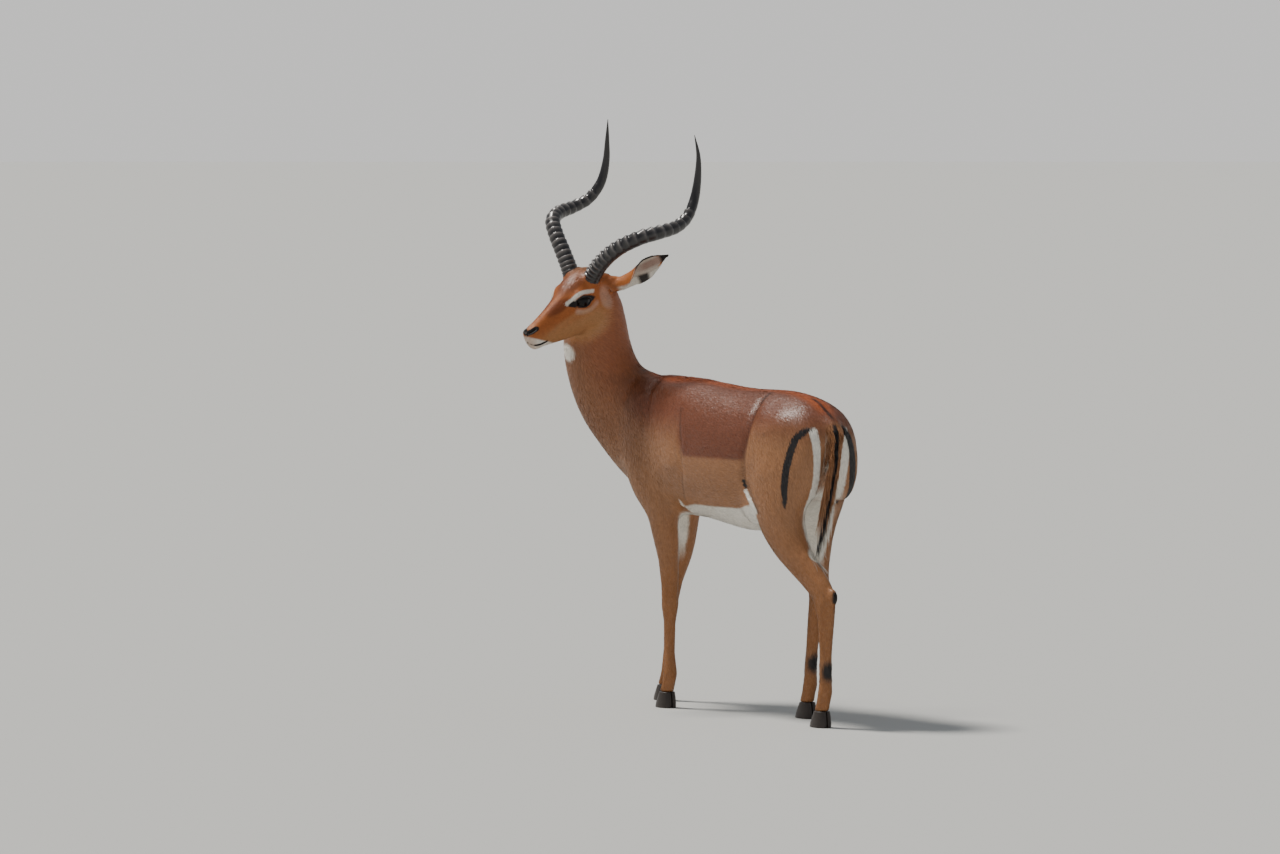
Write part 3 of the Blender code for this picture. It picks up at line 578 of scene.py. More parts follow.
def ear_markings(points, facing, colour):
    """Rufous back, black tip and edge, pale inside."""
    lay = brush(colour)
    for name in EARS:
        root, along, _, _ = ear_frame(name)
        away = points - root
        share = away @ along / EAR_LENGTH
        across, out = ear_turn(name, share)
        width = dots(away, across)
        from_middle = np.abs(width)
        on_ear = (ramp(share, 0.1, 0.18) * fall(from_middle, 0.052, 0.056)
                  * fall(np.abs(dots(away, out) - 0.01), 0.047, 0.052) * (share < 1.1))
        lay(EAR_BACK, on_ear)
        inside = on_ear * ramp(dots(facing, out), -0.1, 0.25)
        lay(EAR_INSIDE, inside)
        middle = inside * fall(from_middle, 0.006, 0.018) * ramp(share, 0.42, 0.58)
        lay(EAR_SKIN, 0.75 * middle)
        lay(BLACK, on_ear * ramp(share, 0.78, 0.84))
        edge = from_middle / np.interp(share, EAR_SHARES, EAR_WIDTHS)
        rim = ramp(edge, 0.52, 0.64)
        above = (across[:, 2] * width > 0)
        lay(BELLY, on_ear * rim * ~above * ramp(share, 0.08, 0.16))
        upper = on_ear * rim * ramp(share, 0.4, 0.5) * above
        lower = 0.95 * (on_ear * ramp(edge, 0.4, 0.58) * ramp(share, 0.4, 0.46))
        lay(BLACK, np.maximum(upper, lower * fall(share, 0.55, 0.61) * ~above))
    return colour


def coat_colour(points, facing):
    return ear_markings(points, facing, markings(points, facing))


# ---- skin
def ear_shell(name):
    """Thin curved blade of the ear, closed all round."""
    root, along, _, _ = ear_frame(name)
    shares = np.linspace(EAR_SHARES[0], EAR_SHARES[-1], 60)
    across, out = (turn[:, None, :] for turn in ear_turn(name, shares))
    half_width = np.interp(shares, EAR_SHARES, EAR_WIDTHS)
    half_angle = np.radians(np.interp(shares, EAR_SHARES, EAR_CURLS))
    lean = np.linspace(-1.0, 1.0, 33)[None, :] * half_angle[:, None]
    radius = (half_width / np.where(half_angle < math.pi / 2, np.sin(half_angle), 1.0))[:, None, None]
    centre = root + along * (EAR_LENGTH * shares)[:, None]
    spoke = across * np.sin(lean)[..., None] - out * np.cos(lean)[..., None]
    hub = centre[:, None, :] + out * radius * 0.9
    outer = hub + spoke * radius
    inner = hub + spoke * (radius - np.minimum(EAR_THICKNESS, half_width * 0.8)[:, None, None])
    ring = np.concatenate((outer, inner[:, ::-1]), 1)
    columns = ring.shape[1]
    last = (len(shares) - 1) * columns
    strip = np.arange(32)
    cap = np.stack((strip, strip + 1, columns - 2 - strip, columns - 1 - strip), 1)
    return ring.reshape(-1, 3), np.concatenate((grid_faces(len(shares), columns, True),
                                                cap[:, ::-1], cap + last))


def flesh_names():
    apart = ("eye_", "horn_", "hoof_")
    return [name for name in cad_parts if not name.startswith(apart)]


def union_source():
    """Everything that the skin wraps, as one loose mesh."""
    parts = []
    for name in flesh_names():
        if name.startswith("ear_"):
            continue
        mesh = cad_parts[name].data.copy()
        work = bmesh.new()
        work.from_mesh(mesh)
        bmesh.ops.remove_doubles(work, verts=work.verts, dist=1e-5)
        work.normal_update()
        work.to_mesh(mesh)
        work.free()
        faces = [np.array(polygon.vertices) for polygon in mesh.polygons]
        groups = [np.stack([face for face in faces if len(face) == size])
                  for size in sorted({len(face) for face in faces})]
        parts.append((points_of(mesh) + normals_of(mesh) * SOLID_MARGIN, groups))
    for side in (1.0, -1.0):
        parts.append(ball(from_head(on_side(EYE_CENTRE, side))[0], EYE_RADIUS + 0.0022))
        parts.append(ball(from_head(on_side(HORN[0], side))[0], HORN_BASE_RADIUS + 0.002))
    for name in EARS:
        parts.append(ear_shell(name))
        root, along, out, across = ear_frame(name)
        points, faces = ball((0.0, 0.0, 0.0), 1.0)
        turn = np.stack((along * 0.03, across * 0.0165, out * 0.0165))
        parts.append((points @ turn + root + along * 0.012, faces))
    offset = 0
    all_faces = []
    for points, groups in parts:
        all_faces.extend(group + offset for group in (groups if isinstance(groups, list) else [groups]))
        offset += len(points)
    return make_mesh("Union", np.concatenate([points for points, _ in parts]), all_faces)


def apply_modifiers(made):
    bpy.context.view_layer.update()
    shape = made.evaluated_get(bpy.context.evaluated_depsgraph_get())
    mesh = bpy.data.meshes.new_from_object(shape)
    old = made.data
    made.modifiers.clear()
    made.data = mesh
    bpy.data.meshes.remove(old)


def push(points, normals, line, width, height, frame_of):
    """Raise or sink the skin along a polyline given in a local frame."""
    away, share = along_line(frame_of(points), line)
    fade = np.clip(np.minimum(share, 1.0 - share) / 0.15, 0.15, 1.0)
    return points + normals * (height * fade * np.exp(-(away / width) ** 2))[:, None]


def eye_axes(side):
    """Centre of the eyeball, its outward axis, and the front and up of the lids."""
    out = unit(turn_from_head(on_side(EYE_OUT, side)))[0]
    front = squared(turn_from_head((1.0, 0.0, 0.16))[0], out)
    return from_head(on_side(EYE_CENTRE, side))[0], out, front, np.cross(out, front) * side


def oval(x, y, front, rear, upper, lower, shape):
    """1 on the edge of an oval round the middle, less inside it."""
    x = np.abs(x) / np.where(x > 0.0, front, rear)
    y = np.abs(y) / np.where(y > 0.0, upper, lower)
    return (x ** shape + y ** shape) ** (1.0 / shape)


def lid_measure(points, side):
    """1 on the edge of the lids' opening, less inside it, and FAR away from the eye."""
    centre, out, front, up = eye_axes(side)
    away = points - centre
    depth = away @ out
    reach = np.maximum(lengths(away), 1e-6)
    x = np.arctan2(away @ front, depth) * EYE_RADIUS
    y = np.arcsin(np.clip((away @ up) / reach, -1.0, 1.0)) * EYE_RADIUS
    return np.where((depth > 0.0) & (reach < EYE_RADIUS * 1.6), oval(x, y, *LIDS), FAR)


def almond(points, side):
    """1 on the edge of the black skin round the eye, less inside it."""
    centre, out, front, up = eye_axes(side)
    away = points - centre
    close = (away @ out > -0.022) & (lengths(away) < 0.056)
    return np.where(close, oval(away @ front, away @ up, *ALMOND), FAR)


def sculpt_body(mesh):
    """Edges and masses of shoulder and thigh, and the folds of the turned neck."""
    points = points_of(mesh)
    normals = normals_of(mesh)
    for line, width, height in ((SHOULDER_MASS, 0.034, 0.004), (THIGH_MASS, 0.045, 0.004),
                                (SHOULDER_EDGE, 0.01, -0.0036), (THIGH_EDGE, 0.01, -0.0048),
                                (THIGH_SWELL, 0.022, 0.003)):
        points = push(points, normals, line, width, height, folded_body)
    for fold in NECK_FOLDS:
        points = push(points, normals, fold, 0.007, -0.004, to_body)
    set_points(mesh, points)


def build_skin():
    """One dense surface wrapped round the solids, eyes and ears, and smoothed."""
    made = union_source()
    remesh = made.modifiers.new("Wrap", "REMESH")
    remesh.mode = "VOXEL"
    remesh.voxel_size = VOXEL
    apply_modifiers(made)
    mesh = made.data
    edges = read(mesh.edges, "vertices", 2, np.int32)
    points = points_of(mesh)
    body = to_body(points)
    head = to_head(points)
    head_away = lengths(head / (1.3, 1.0, 1.0))
    tail_away, _ = along_line(body, TAIL)
    torso = ramp(head_away, 0.13, 0.2) * ramp(body[:, 2], 0.42, 0.56) * ramp(tail_away, 0.02, 0.05)
    points = spread(points, edges, 0.12 + 0.78 * torso, TORSO_ROUNDS)
    set_points(mesh, points)
    return made


def subdivide_near(mesh):
    """Finer faces round the eyes and muzzle, and finer still along nostrils and mouth."""
    for lines in ((), (NOSTRIL, PHILTRUM, MOUTH)):
        head = folded_head(points_of(mesh))
        if lines:
            chosen = np.min([along_line(head, line)[0] for line in lines], axis=0) < 0.007
        else:
            chosen = lengths(head - EYE_CENTRE) < 0.034
            chosen |= (head[:, 0] > 0.135) & (head[:, 2] > -0.06) & (head[:, 1] < 0.05)
        work = bmesh.new()
        work.from_mesh(mesh)
        work.verts.ensure_lookup_table()
        marked = set(np.flatnonzero(chosen).tolist())
        split = [edge for edge in work.edges
                 if edge.verts[0].index in marked and edge.verts[1].index in marked]
        bmesh.ops.subdivide_edges(work, edges=split, cuts=1, use_grid_fill=True)
        work.to_mesh(mesh)
        work.free()


def sculpt_head(mesh):
    """Nostrils, middle of the nose and mouth, and the skin drawn back from the eyes."""
    points = points_of(mesh)
    normals = normals_of(mesh)
    for line, width, height in ((NOSTRIL, 0.0042, -0.008), (PHILTRUM, 0.0018, -0.0016),
                                (MOUTH, 0.0018, -0.003), (MUZZLE_BULGE, 0.0075, 0.0014)):
        points = push(points, normals, line, width, height, folded_head)
    for side in (1.0, -1.0):
        measure = lid_measure(points, side)
        centre = eye_axes(side)[0]
        away = points - centre
        reach = lengths(away)
        inside = measure < 1.12
        wanted = np.where(inside, EYE_RADIUS - 0.004, np.maximum(reach, EYE_RADIUS + 0.0016))
        blend = np.where(inside, 1.0, fall(measure, 1.35, 1.9))
        moved = centre + away / reach[:, None] * (reach + (wanted - reach) * blend)[:, None]
        points = np.where((measure < 2.4)[:, None], moved, points)
    set_points(mesh, points)


def lid_ring(side):
    """Rim of the eyelids: a fine rolled edge round the opening."""
    centre, out, front, up = eye_axes(side)
    before, behind, above, below, shape = LIDS
    turns = 120
    theta = np.linspace(0.0, 2.0 * math.pi, turns, endpoint=False)
    c = np.cos(theta)
    s = np.sin(theta)
    edge = np.stack((np.sign(c) * np.abs(c) ** (2.0 / shape) * np.where(c > 0.0, before, behind),
                     np.sign(s) * np.abs(s) ** (2.0 / shape) * np.where(s > 0.0, above, below)), 1)
    run = np.roll(edge, -1, 0) - np.roll(edge, 1, 0)
    run = run / lengths(run)[:, None]
    outward = np.stack((run[:, 1], -run[:, 0]), 1)
    rows = []
    for step, height in LID_PROFILE:
        turn = (edge + outward * step) / EYE_RADIUS
        way = (out * (np.cos(turn[:, 1]) * np.cos(turn[:, 0]))[:, None]
               + front * (np.cos(turn[:, 1]) * np.sin(turn[:, 0]))[:, None]
               + up * np.sin(turn[:, 1])[:, None])
        rows.append(centre + way * (EYE_RADIUS + height))
    faces = grid_faces(len(rows), turns, True)
    return np.concatenate(rows), (faces if side < 0.0 else faces[:, ::-1])


def sink(mesh):
    """Lay the skin under the coat."""
    points = points_of(mesh)
    set_points(mesh, points - normals_of(mesh) * coat_depth(points)[:, None])


def coat_depth(points):
    """How far the skin lies under the coat: least on the face and low on the legs."""
    body = to_body(points)
    away, share = along_line(body, TAIL)
    tail = fall(away, 0.02, 0.034) * ramp(share, 0.05, 0.25)
    from_face = ramp(lengths(to_head(points)), 0.1, 0.22)
    depth = COAT_DEPTH * (0.35 + 0.65 * from_face) * (0.5 + 0.5 * ramp(body[:, 2], 0.3, 0.5))
    return depth * (1.0 - tail) + TAIL_DEPTH * tail


# ---- the coat
# Lie of the coat: a place and the way the hair runs there, forward, left, up; both sides mirror.
LIE_BODY = (
    ((0.15, 0.0, 0.9), (-1.0, 0.0, -0.2)), ((0.0, 0.0, 0.88), (-1.0, 0.0, 0.0)),
    ((-0.2, 0.0, 0.86), (-1.0, 0.0, 0.0)), ((-0.35, 0.0, 0.84), (-1.0, 0.0, -0.2)),
    ((-0.44, 0.0, 0.78), (-0.5, 0.0, -0.9)), ((0.1, 0.1, 0.8), (-1.0, 0.1, -0.45)),
    ((-0.1, 0.11, 0.8), (-1.0, 0.1, -0.35)), ((-0.27, 0.1, 0.79), (-0.9, 0.1, -0.45)),
    ((0.07, 0.13, 0.68), (-0.9, 0.0, -0.5)), ((-0.1, 0.13, 0.66), (-1.0, 0.0, -0.35)),
    ((-0.19, 0.12, 0.62), (-0.9, 0.0, -0.1)), ((0.05, 0.05, 0.54), (-1.0, 0.0, -0.05)),
    ((-0.15, 0.05, 0.53), (-1.0, 0.0, -0.05)), ((-0.24, 0.03, 0.53), (-1.0, 0.0, 0.0)),
    ((0.23, 0.09, 0.76), (-0.6, 0.0, -0.8)), ((0.22, 0.09, 0.62), (-0.3, 0.0, -1.0)),
    ((0.3, 0.0, 0.66), (-0.35, 0.0, -1.0)), ((0.28, 0.05, 0.85), (-0.45, 0.0, -0.9)),
    ((0.36, 0.05, 0.9), (-0.35, 0.0, -1.0)), ((0.2, 0.06, 0.45), (0.0, 0.0, -1.0)),
    ((0.2, 0.06, 0.2), (0.0, 0.0, -1.0)), ((0.37, 0.06, 0.2), (0.0, 0.0, -1.0)),
    ((0.33, 0.06, 0.45), (0.2, 0.0, -1.0)), ((-0.3, 0.12, 0.72), (-0.6, 0.0, -0.8)),
    ((-0.33, 0.12, 0.6), (-0.5, 0.0, -1.0)), ((-0.42, 0.09, 0.66), (-0.15, 0.0, -1.0)),
    ((-0.44, 0.05, 0.7), (0.0, 0.0, -1.0)), ((-0.42, 0.06, 0.46), (-0.7, 0.0, -0.8)),
    ((-0.51, 0.06, 0.36), (-0.4, 0.0, -1.0)), ((-0.5, 0.06, 0.15), (0.05, 0.0, -1.0)),
    ((-0.26, 0.06, 0.15), (0.0, 0.0, -1.0)), ((-0.3, 0.06, 0.4), (-0.4, 0.0, -1.0)),
)
LIE_HEAD = (
    ((0.16, 0.0, 0.015), (-1.0, 0.0, 0.15)), ((0.08, 0.0, 0.04), (-1.0, 0.0, 0.3)),
    ((0.0, 0.0, 0.07), (-1.0, 0.0, 0.3)), ((-0.08, 0.0, 0.06), (-1.0, 0.0, -0.4)),
    ((0.16, 0.025, -0.03), (-1.0, 0.0, -0.15)), ((0.08, 0.035, -0.03), (-1.0, 0.0, -0.15)),
    ((0.0, 0.055, -0.05), (-1.0, 0.0, -0.3)), ((0.04, 0.045, 0.03), (-1.0, 0.0, 0.1)),
    ((-0.06, 0.06, -0.02), (-0.9, 0.1, -0.5)), ((0.05, 0.0, -0.09), (-1.0, 0.0, -0.3)),
    ((-0.09, 0.05, -0.1), (-0.6, 0.0, -0.9)), ((-0.02, 0.03, -0.14), (-0.6, 0.0, -1.0)),
)


# Tufts
EDGE_TURN = 0.22  # how far a ribbon's shading turns away at its edges
RIBBON_SHARES = (0.0, 0.35, 0.7, 1.0)
RIBBON_RISE = (-0.15, 0.7, 0.95, 0.55)
RIBBON_BREADTH = (0.55, 1.0, 0.75, 0.0)
COVER = 3.3  # how many layers of tufts lie over each other
FINE_LENGTH = 0.0085  # tufts shorter than this are of the fine kind
COAT_PIECE = 39000  # most tufts in a piece of each kind
FINE_PIECE = 65000
TAIL_CROWD = 210000.0  # locks to a square metre
OVERRULE = 1e9  # on ears and tail, their own run decides the lie
ASKEW = (0.31, 0.52, 0.79)  # gives each face a direction along itself


def lie_rows():
    """Places and directions of the lie on both sides."""
    rows = [(to_place(on_side(place, side))[0], to_turn(on_side(turn, side))[0])
            for side in (1.0, -1.0)
            for table, to_place, to_turn in ((LIE_BODY, from_body, turn_from_body),
                                             (LIE_HEAD, from_head, turn_from_head))
            for place, turn in table]
    places, turns = zip(*rows)
    return np.array(places), unit(np.array(turns))


def from_ear(name, points, low):
    """Distances from the ear's axis, taken from a low share of its run on, and the run."""
    root, along, _, _ = ear_frame(name)
    share = np.clip((points - root) @ along / EAR_LENGTH, low, 1.0)
    return lengths(points - root - along * (share * EAR_LENGTH)[:, None]), along


def lie_of_coat(points, normals):
    """Direction of the hair, along the surface."""
    total = np.zeros_like(points)
    for place, turn in zip(*lie_rows()):
        away = lengths(points - place)
        total += turn * (1.0 / (away + 0.012) ** 4)[:, None]
    for name in EARS:
        away, along = from_ear(name, points, 0.15)
        total += along * (fall(away, 0.03, 0.045) * OVERRULE)[:, None]
    away, share = along_line(to_body(points), TAIL)
    run = unit(turn_from_body(np.diff(TAIL, axis=0)))
    index = np.clip((share * len(run)).astype(int), 0, len(run) - 1)
    total += run[index] * (fall(away, 0.02, 0.03) * ramp(share, 0.02, 0.1) * OVERRULE)[:, None]
    total = unit(total)
    return unit(total - normals * dots(total, normals)[:, None])


def faces_of(mesh):
    """Middles, outward directions and areas of the faces."""
    faces = mesh.polygons
    return read(faces, "center", 3), read(faces, "normal", 3), read(faces, "area", 1)[:, 0]


def tuft_sizes(points):
    """Length, width and rise of the tufts, and how many there are to a square metre."""
    body = to_body(points)
    f, l, z = body.T
    head = to_head(points)
    ridge = fall(np.abs(l), 0.01, 0.035) * ramp(z, 0.78, 0.84) * fall(f, 0.3, 0.36)
    face = fall(lengths((head - (0.05, 0.0, -0.01)) / (1.35, 1.0, 1.0)), 0.085, 0.135)
    reach, add = True, False
    steps = (
        # legs, neck, back line and withers
        (fall(z, 0.3, 0.52), reach, (0.0075, 0.0016, 0.0008)),
        (ramp(f, 0.2, 0.3) * ramp(z, 0.6, 0.7), add, (0.003, 0.0, 0.0005)),
        (ridge, add, (0.004, 0.0, 0.0006)),
        (spot(body, (0.2, 0.0, 0.885), (0.13, 0.045, 0.07)), add, (0.006, 0.0, 0.0022)),
        # face, muzzle and crown
        (face, reach, (0.0058, 0.0013, 0.0007)),
        (ramp(head[:, 0], 0.1, 0.17) * face, reach, (0.0034, 0.001, 0.0004)),
        (spot(head, (-0.01, 0.0, 0.06), (0.055, 0.04, 0.035)), add, (0.004, 0.0, 0.0008)),
        # glands and ears
        (fall(np.abs(z - 0.15), 0.02, 0.03) * (f < HIND), add, (0.006, 0.0, 0.0015)),
        (on_ears(points), reach, (0.0065, 0.0014, 0.0007)),
    )
    sizes = np.tile(((0.013,), (0.002,), (0.0008,)), (1, len(points)))
    for mask, how, wanted in steps:
        wanted = np.array(wanted)[:, None]
        sizes += (wanted - sizes if how == reach else wanted) * mask
    length, width, lift = sizes
    return length, width, lift, COVER / (length * width)


def on_ears(points):
    return np.max([fall(from_ear(name, points, 0.2)[0], 0.048, 0.06) for name in EARS], axis=0)


def bare_places(points):
    """1 where no tuft grows: in the eyes, nostrils and mouth, and on the tail, which has locks."""
    bare = (lid_measure(points, 1.0) < 1.28) | (lid_measure(points, -1.0) < 1.28)
    head = folded_head(points)
    for line, width in ((NOSTRIL, 0.0058), (PHILTRUM, 0.0024), (MOUTH, 0.0026)):
        bare |= along_line(head, line)[0] < width
    away, share = along_line(to_body(points), TAIL)
    return (bare | ((away < 0.024) & (share > 0.1))).astype(float)


def scatter(middles, facing, areas, crowd):
    """Roots spread over the faces, with the face that each one stands on."""
    count = np.floor(areas * crowd + RNG.random(len(areas))).astype(int)
    owner = np.repeat(np.arange(len(areas)), count)
    normals = facing[owner]
    aside = unit(np.cross(normals, ASKEW))
    ahead = np.cross(normals, aside)
    place = (RNG.random((len(owner), 2)) - 0.5) * np.sqrt(areas[owner])[:, None]
    return middles[owner] + aside * place[:, :1] + ahead * place[:, 1:], normals, owner


def strips(name, rows, patches, quad, end):
    """Mesh of tapering strips, each on its own patch of the unwrap. A row holds the strips'
    middles, half widths and colours at one step. The corners of the faces are counted from
    the step's first point, and at the end from past the tip."""
    last = len(rows) - 1
    points = []
    tints = []
    uv = []
    for step, (middle, half, tint) in enumerate(rows):
        for edge in ((-1.0, 1.0) if step < last else (0.0,)):
            points.append(middle + half * edge)
            tints.append(tint)
            uv.append(patches + (PATCH * 0.4 * edge, (step / last - 0.5) * PATCH))
    per = len(points)
    base = (np.arange(len(patches)) * per)[:, None]
    faces = [base + (np.array(end) + per)]
    if last > 1:
        faces.append(np.concatenate([base + (np.array(quad) + 2 * step) for step in range(last - 1)]))
    made = make_mesh(name, np.stack(points, 1).reshape(-1, 3), faces)
    paint(made.data, np.stack(tints, 1).reshape(-1, 3))
    corners = read(made.data.loops, "vertex_index", 1, np.int32)[:, 0]
    layer = made.data.uv_layers.new(name="OFBake")
    layer.data.foreach_set("uv", np.stack(uv, 1).reshape(-1, 2)[corners].astype(np.float32).ravel())
    return made


def ribbons(name, roots, tips, normals, tip_normals, way, width, lift, colours, patches, segments):
    """Tufts as tapering ribbons that rise from the root and lie back along the skin to the tip."""
    count = len(roots)
    roll = RNG.normal(0.0, 0.12, count)
    straight = way * dots(tips - roots, way)[:, None]
    bend = tips - roots - straight
    across = np.cross(normals, way)
    flat = across * np.cos(roll)[:, None] + normals * np.sin(roll)[:, None]
    shares = np.linspace(0.0, 1.0, segments + 1)
    rise = np.interp(shares, RIBBON_SHARES, RIBBON_RISE)
    broad = np.interp(shares, RIBBON_SHARES, RIBBON_BREADTH)
    tilt = flat * (0.5 * np.sin(roll))[:, None] + way * RNG.normal(0.0, 0.05, (count, 1))
    rows = []
    turned = []
    for share, up, wide in zip(shares, rise, broad):
        facing = normals + (tip_normals - normals) * share
        middle = roots + straight * share + bend * share ** 2 + facing * (lift * up)[:, None]
        rows.append((middle, flat * (width * wide / 2.0)[:, None], colours * (0.9 + 0.16 * share)))
        turned.extend(facing + tilt + across * (EDGE_TURN * edge)
                      for edge in ((-1.0, 1.0) if share < 1.0 else (0.0,)))
    made = strips(name, rows, patches, (1, 0, 2, 3), (-2, -3, -1))
    made.data.normals_split_custom_set_from_vertices(unit(np.stack(turned, 1).reshape(-1, 3)))
    return made


def locks(name, roots, start, end, length, width, colours, patches, segments=6):
    """Long locks that leave the root one way and hang another."""
    twist = unit(np.cross(start, end) + 0.5 * RNG.normal(0.0, 1.0, (len(roots), 3)))
    shares = np.linspace(0.0, 1.0, segments + 1)
    broad = np.interp(shares, (0.0, 0.3, 0.75, 1.0), (0.6, 1.0, 0.7, 0.0))
    rows = []
    for share, wide in zip(shares, broad):
        hang = share ** 2 / 2.0
        middle = roots + (start * (share - hang) + end * (hang + share * 0.35)) * length[:, None]
        rows.append((middle, twist * (width * wide / 2.0)[:, None], colours * (0.8 + 0.25 * share)))
    return strips(name, rows, patches, (0, 1, 3, 2), (-3, -2, -1))


class SkinMap:
    """Finds the skin's place nearest to a point, in the model and on the unwrap."""

    def __init__(self, mesh):
        mesh.calc_loop_triangles()
        uv = read(mesh.uv_layers["OFBake"].data, "uv", 2)
        self.points = points_of(mesh)
        self.corners = read(mesh.loop_triangles, "vertices", 3, np.int32)
        self.uv = uv[read(mesh.loop_triangles, "loops", 3, np.int32)]
        self.tree = BVHTree.FromPolygons(self.points.tolist(), self.corners.tolist())

    def settled(self, places):
        """The skin's points nearest to places, and its outward directions there."""
        found = [self.tree.find_nearest(place) for place in places.tolist()]
        found = np.array([(*point, *facing) for point, facing, _, _ in found])
        return found[:, :3], found[:, 3:]

    def patches(self, roots):
        """Places of the roots on the unwrap."""
        hit = np.array([self.tree.find_nearest(root)[2] for root in roots.tolist()])
        a, b, c = (self.points[self.corners[hit, k]] for k in range(3))
        normal = np.cross(b - a, c - a)
        whole = np.maximum(dots(normal, normal), 1e-18)
        u = dots(np.cross(c - b, roots - b), normal) / whole
        v = dots(np.cross(a - c, roots - c), normal) / whole
        weights = np.clip(np.stack((u, v, 1.0 - u - v), 1), 0.0, 1.0)
        weights = weights / weights.sum(1, keepdims=True)
        return np.einsum("ij,ijk->ik", weights, self.uv[hit])


def unwrap(made):
    """Unwrap the skin by its own shape, to the map that the tufts share."""
    made.data.uv_layers.new(name="OFBake")
    bpy.context.view_layer.objects.active = made
    made.select_set(True)
    bpy.ops.object.mode_set(mode="EDIT")
    bpy.ops.mesh.select_all(action="SELECT")
    bpy.ops.uv.smart_project(angle_limit=math.radians(66.0), island_margin=0.002)
    bpy.ops.object.mode_set(mode="OBJECT")
    made.select_set(False)


def thin_out(made, triangles):
    """Merge the flattest faces until the skin has about this many triangles."""
    made.data.calc_loop_triangles()
    merge = made.modifiers.new("Merge", "DECIMATE")
    merge.ratio = min(triangles / len(made.data.loop_triangles), 1.0)
    apply_modifiers(made)
    made.data.shade_smooth()


def finished(piece, hide):
    """Give a piece its surface and the body that carries it."""
    piece.data.materials.append(hide)
    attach(piece, "root")
    return piece


def short_coat(middles, facing, areas, skin_map, hair, down):
    """Flat tufts over the whole skin, in pieces from tail to nose."""
    length, width, lift, crowd = tuft_sizes(middles)
    crowd = crowd * (1.0 - bare_places(middles))
    roots, normals, owner = scatter(middles, facing, areas, crowd)
    length, width, lift = (values[owner] for values in (length, width, lift))
    length = length * RNG.uniform(0.75, 1.25, len(roots))
    width = width * RNG.uniform(0.7, 1.3, len(roots))
    lift = lift * RNG.uniform(0.4, 1.2, len(roots))
    lie = lie_of_coat(roots, normals)
    stray = RNG.normal(0.0, 0.13, len(roots))
    way = lie * np.cos(stray)[:, None] + np.cross(normals, lie) * np.sin(stray)[:, None]
    tips, tip_normals = skin_map.settled(roots + way * length[:, None])
    # a tuft takes its colour a little way along, so that the markings keep their places
    colours = coat_colour(roots + way * (length * 0.3)[:, None], normals)
    colours = colours * RNG.uniform(0.88, 1.13, (len(roots), 1))
    values = (roots, tips, normals, tip_normals, way, width, lift, colours, skin_map.patches(roots))
    small = length < FINE_LENGTH
    for chosen, word, segments, most, hide in ((~small, "coat", 3, COAT_PIECE, hair),
                                               (small, "fine_coat", 2, FINE_PIECE, down)):
        places = np.flatnonzero(chosen)
        places = places[np.argsort(to_body(roots[places])[:, 0], kind="stable")]
        for index, group in enumerate(np.array_split(places, math.ceil(len(places) / most))):
            piece = ribbons(f"{word}_{index + 1}", *(rows[group] for rows in values), segments)
            finished(piece, hide)


def tail_locks(middles, facing, areas, skin_map, hide):
    """Long hair of the tail."""
    away, share = along_line(to_body(middles), TAIL)
    crowd = np.where((away < 0.03) & (share > 0.04), TAIL_CROWD, 0.0)
    roots, normals, owner = scatter(middles, facing, areas, crowd)
    lie = lie_of_coat(roots, normals)
    share = share[owner]
    # short at the root of the tail, long below, and short again at its end
    length = 0.014 + 0.04 * ramp(share, 0.2, 0.75) - 0.026 * ramp(share, 0.8, 1.0)
    length = length * RNG.uniform(0.7, 1.2, len(roots))
    width = RNG.uniform(0.0014, 0.0026, len(roots))
    start = unit(lie + normals * (0.12 + 0.16 * RNG.random((len(roots), 1))))
    end = unit(lie * 0.7 + np.array((0.0, 0.0, -0.7)) + 0.1 * RNG.normal(0.0, 1.0, (len(roots), 3)))
    colours = coat_colour(roots, normals) * RNG.uniform(0.86, 1.12, (len(roots), 1))
    piece = locks("tail_hair", roots, start, end, length, width, colours, skin_map.patches(roots))
    finished(piece, hide)


# ---- materials
# Roughness, specular, scale of the mottling and its range, strength of the grain, and the
# grain's own scale where it isn't the mottling's
SURFACES = {
    "Coat": (0.55, 0.35, 90.0, 0.8, 1.16, 0.25, 900.0),
    "Hair": (0.4, 0.5, 90.0, 0.8, 1.16, 0.25, 900.0),
    "Down": (0.55, 0.25, 90.0, 0.8, 1.16, 0.25, 900.0),
    "Horn": (0.28, 0.65, 260.0, 0.75, 1.25, 0.45, 0.0),
    "Eye": (0.08, 0.16, 400.0, 0.85, 1.15, 0.0, 0.0),
    "Hoof": (0.45, 0.4, 160.0, 0.75, 1.25, 0.4, 0.0),
}
GRAIN_DEPTH = 0.0006


def material(name, roughness, specular):
    """A material with its node tree and its shader."""
    made = bpy.data.materials.new(name)
    made.use_nodes = True
    shader = made.node_tree.nodes["Principled BSDF"]
    shader.inputs["Roughness"].default_value = roughness
    shader.inputs["Specular IOR Level"].default_value = specular
    return made, made.node_tree, shader


def node(tree, kind, values):
    """A new node with values on its inputs."""
    made = tree.nodes.new("ShaderNode" + kind)
    for name, value in values.items():
        made.inputs[name].default_value = value
    return made


def noise_at(tree, place, scale, detail):
    noise = node(tree, "TexNoise", {"Scale": scale, "Detail": detail})
    tree.links.new(place.outputs["Object"], noise.inputs["Vector"])
    return noise.outputs["Fac"]


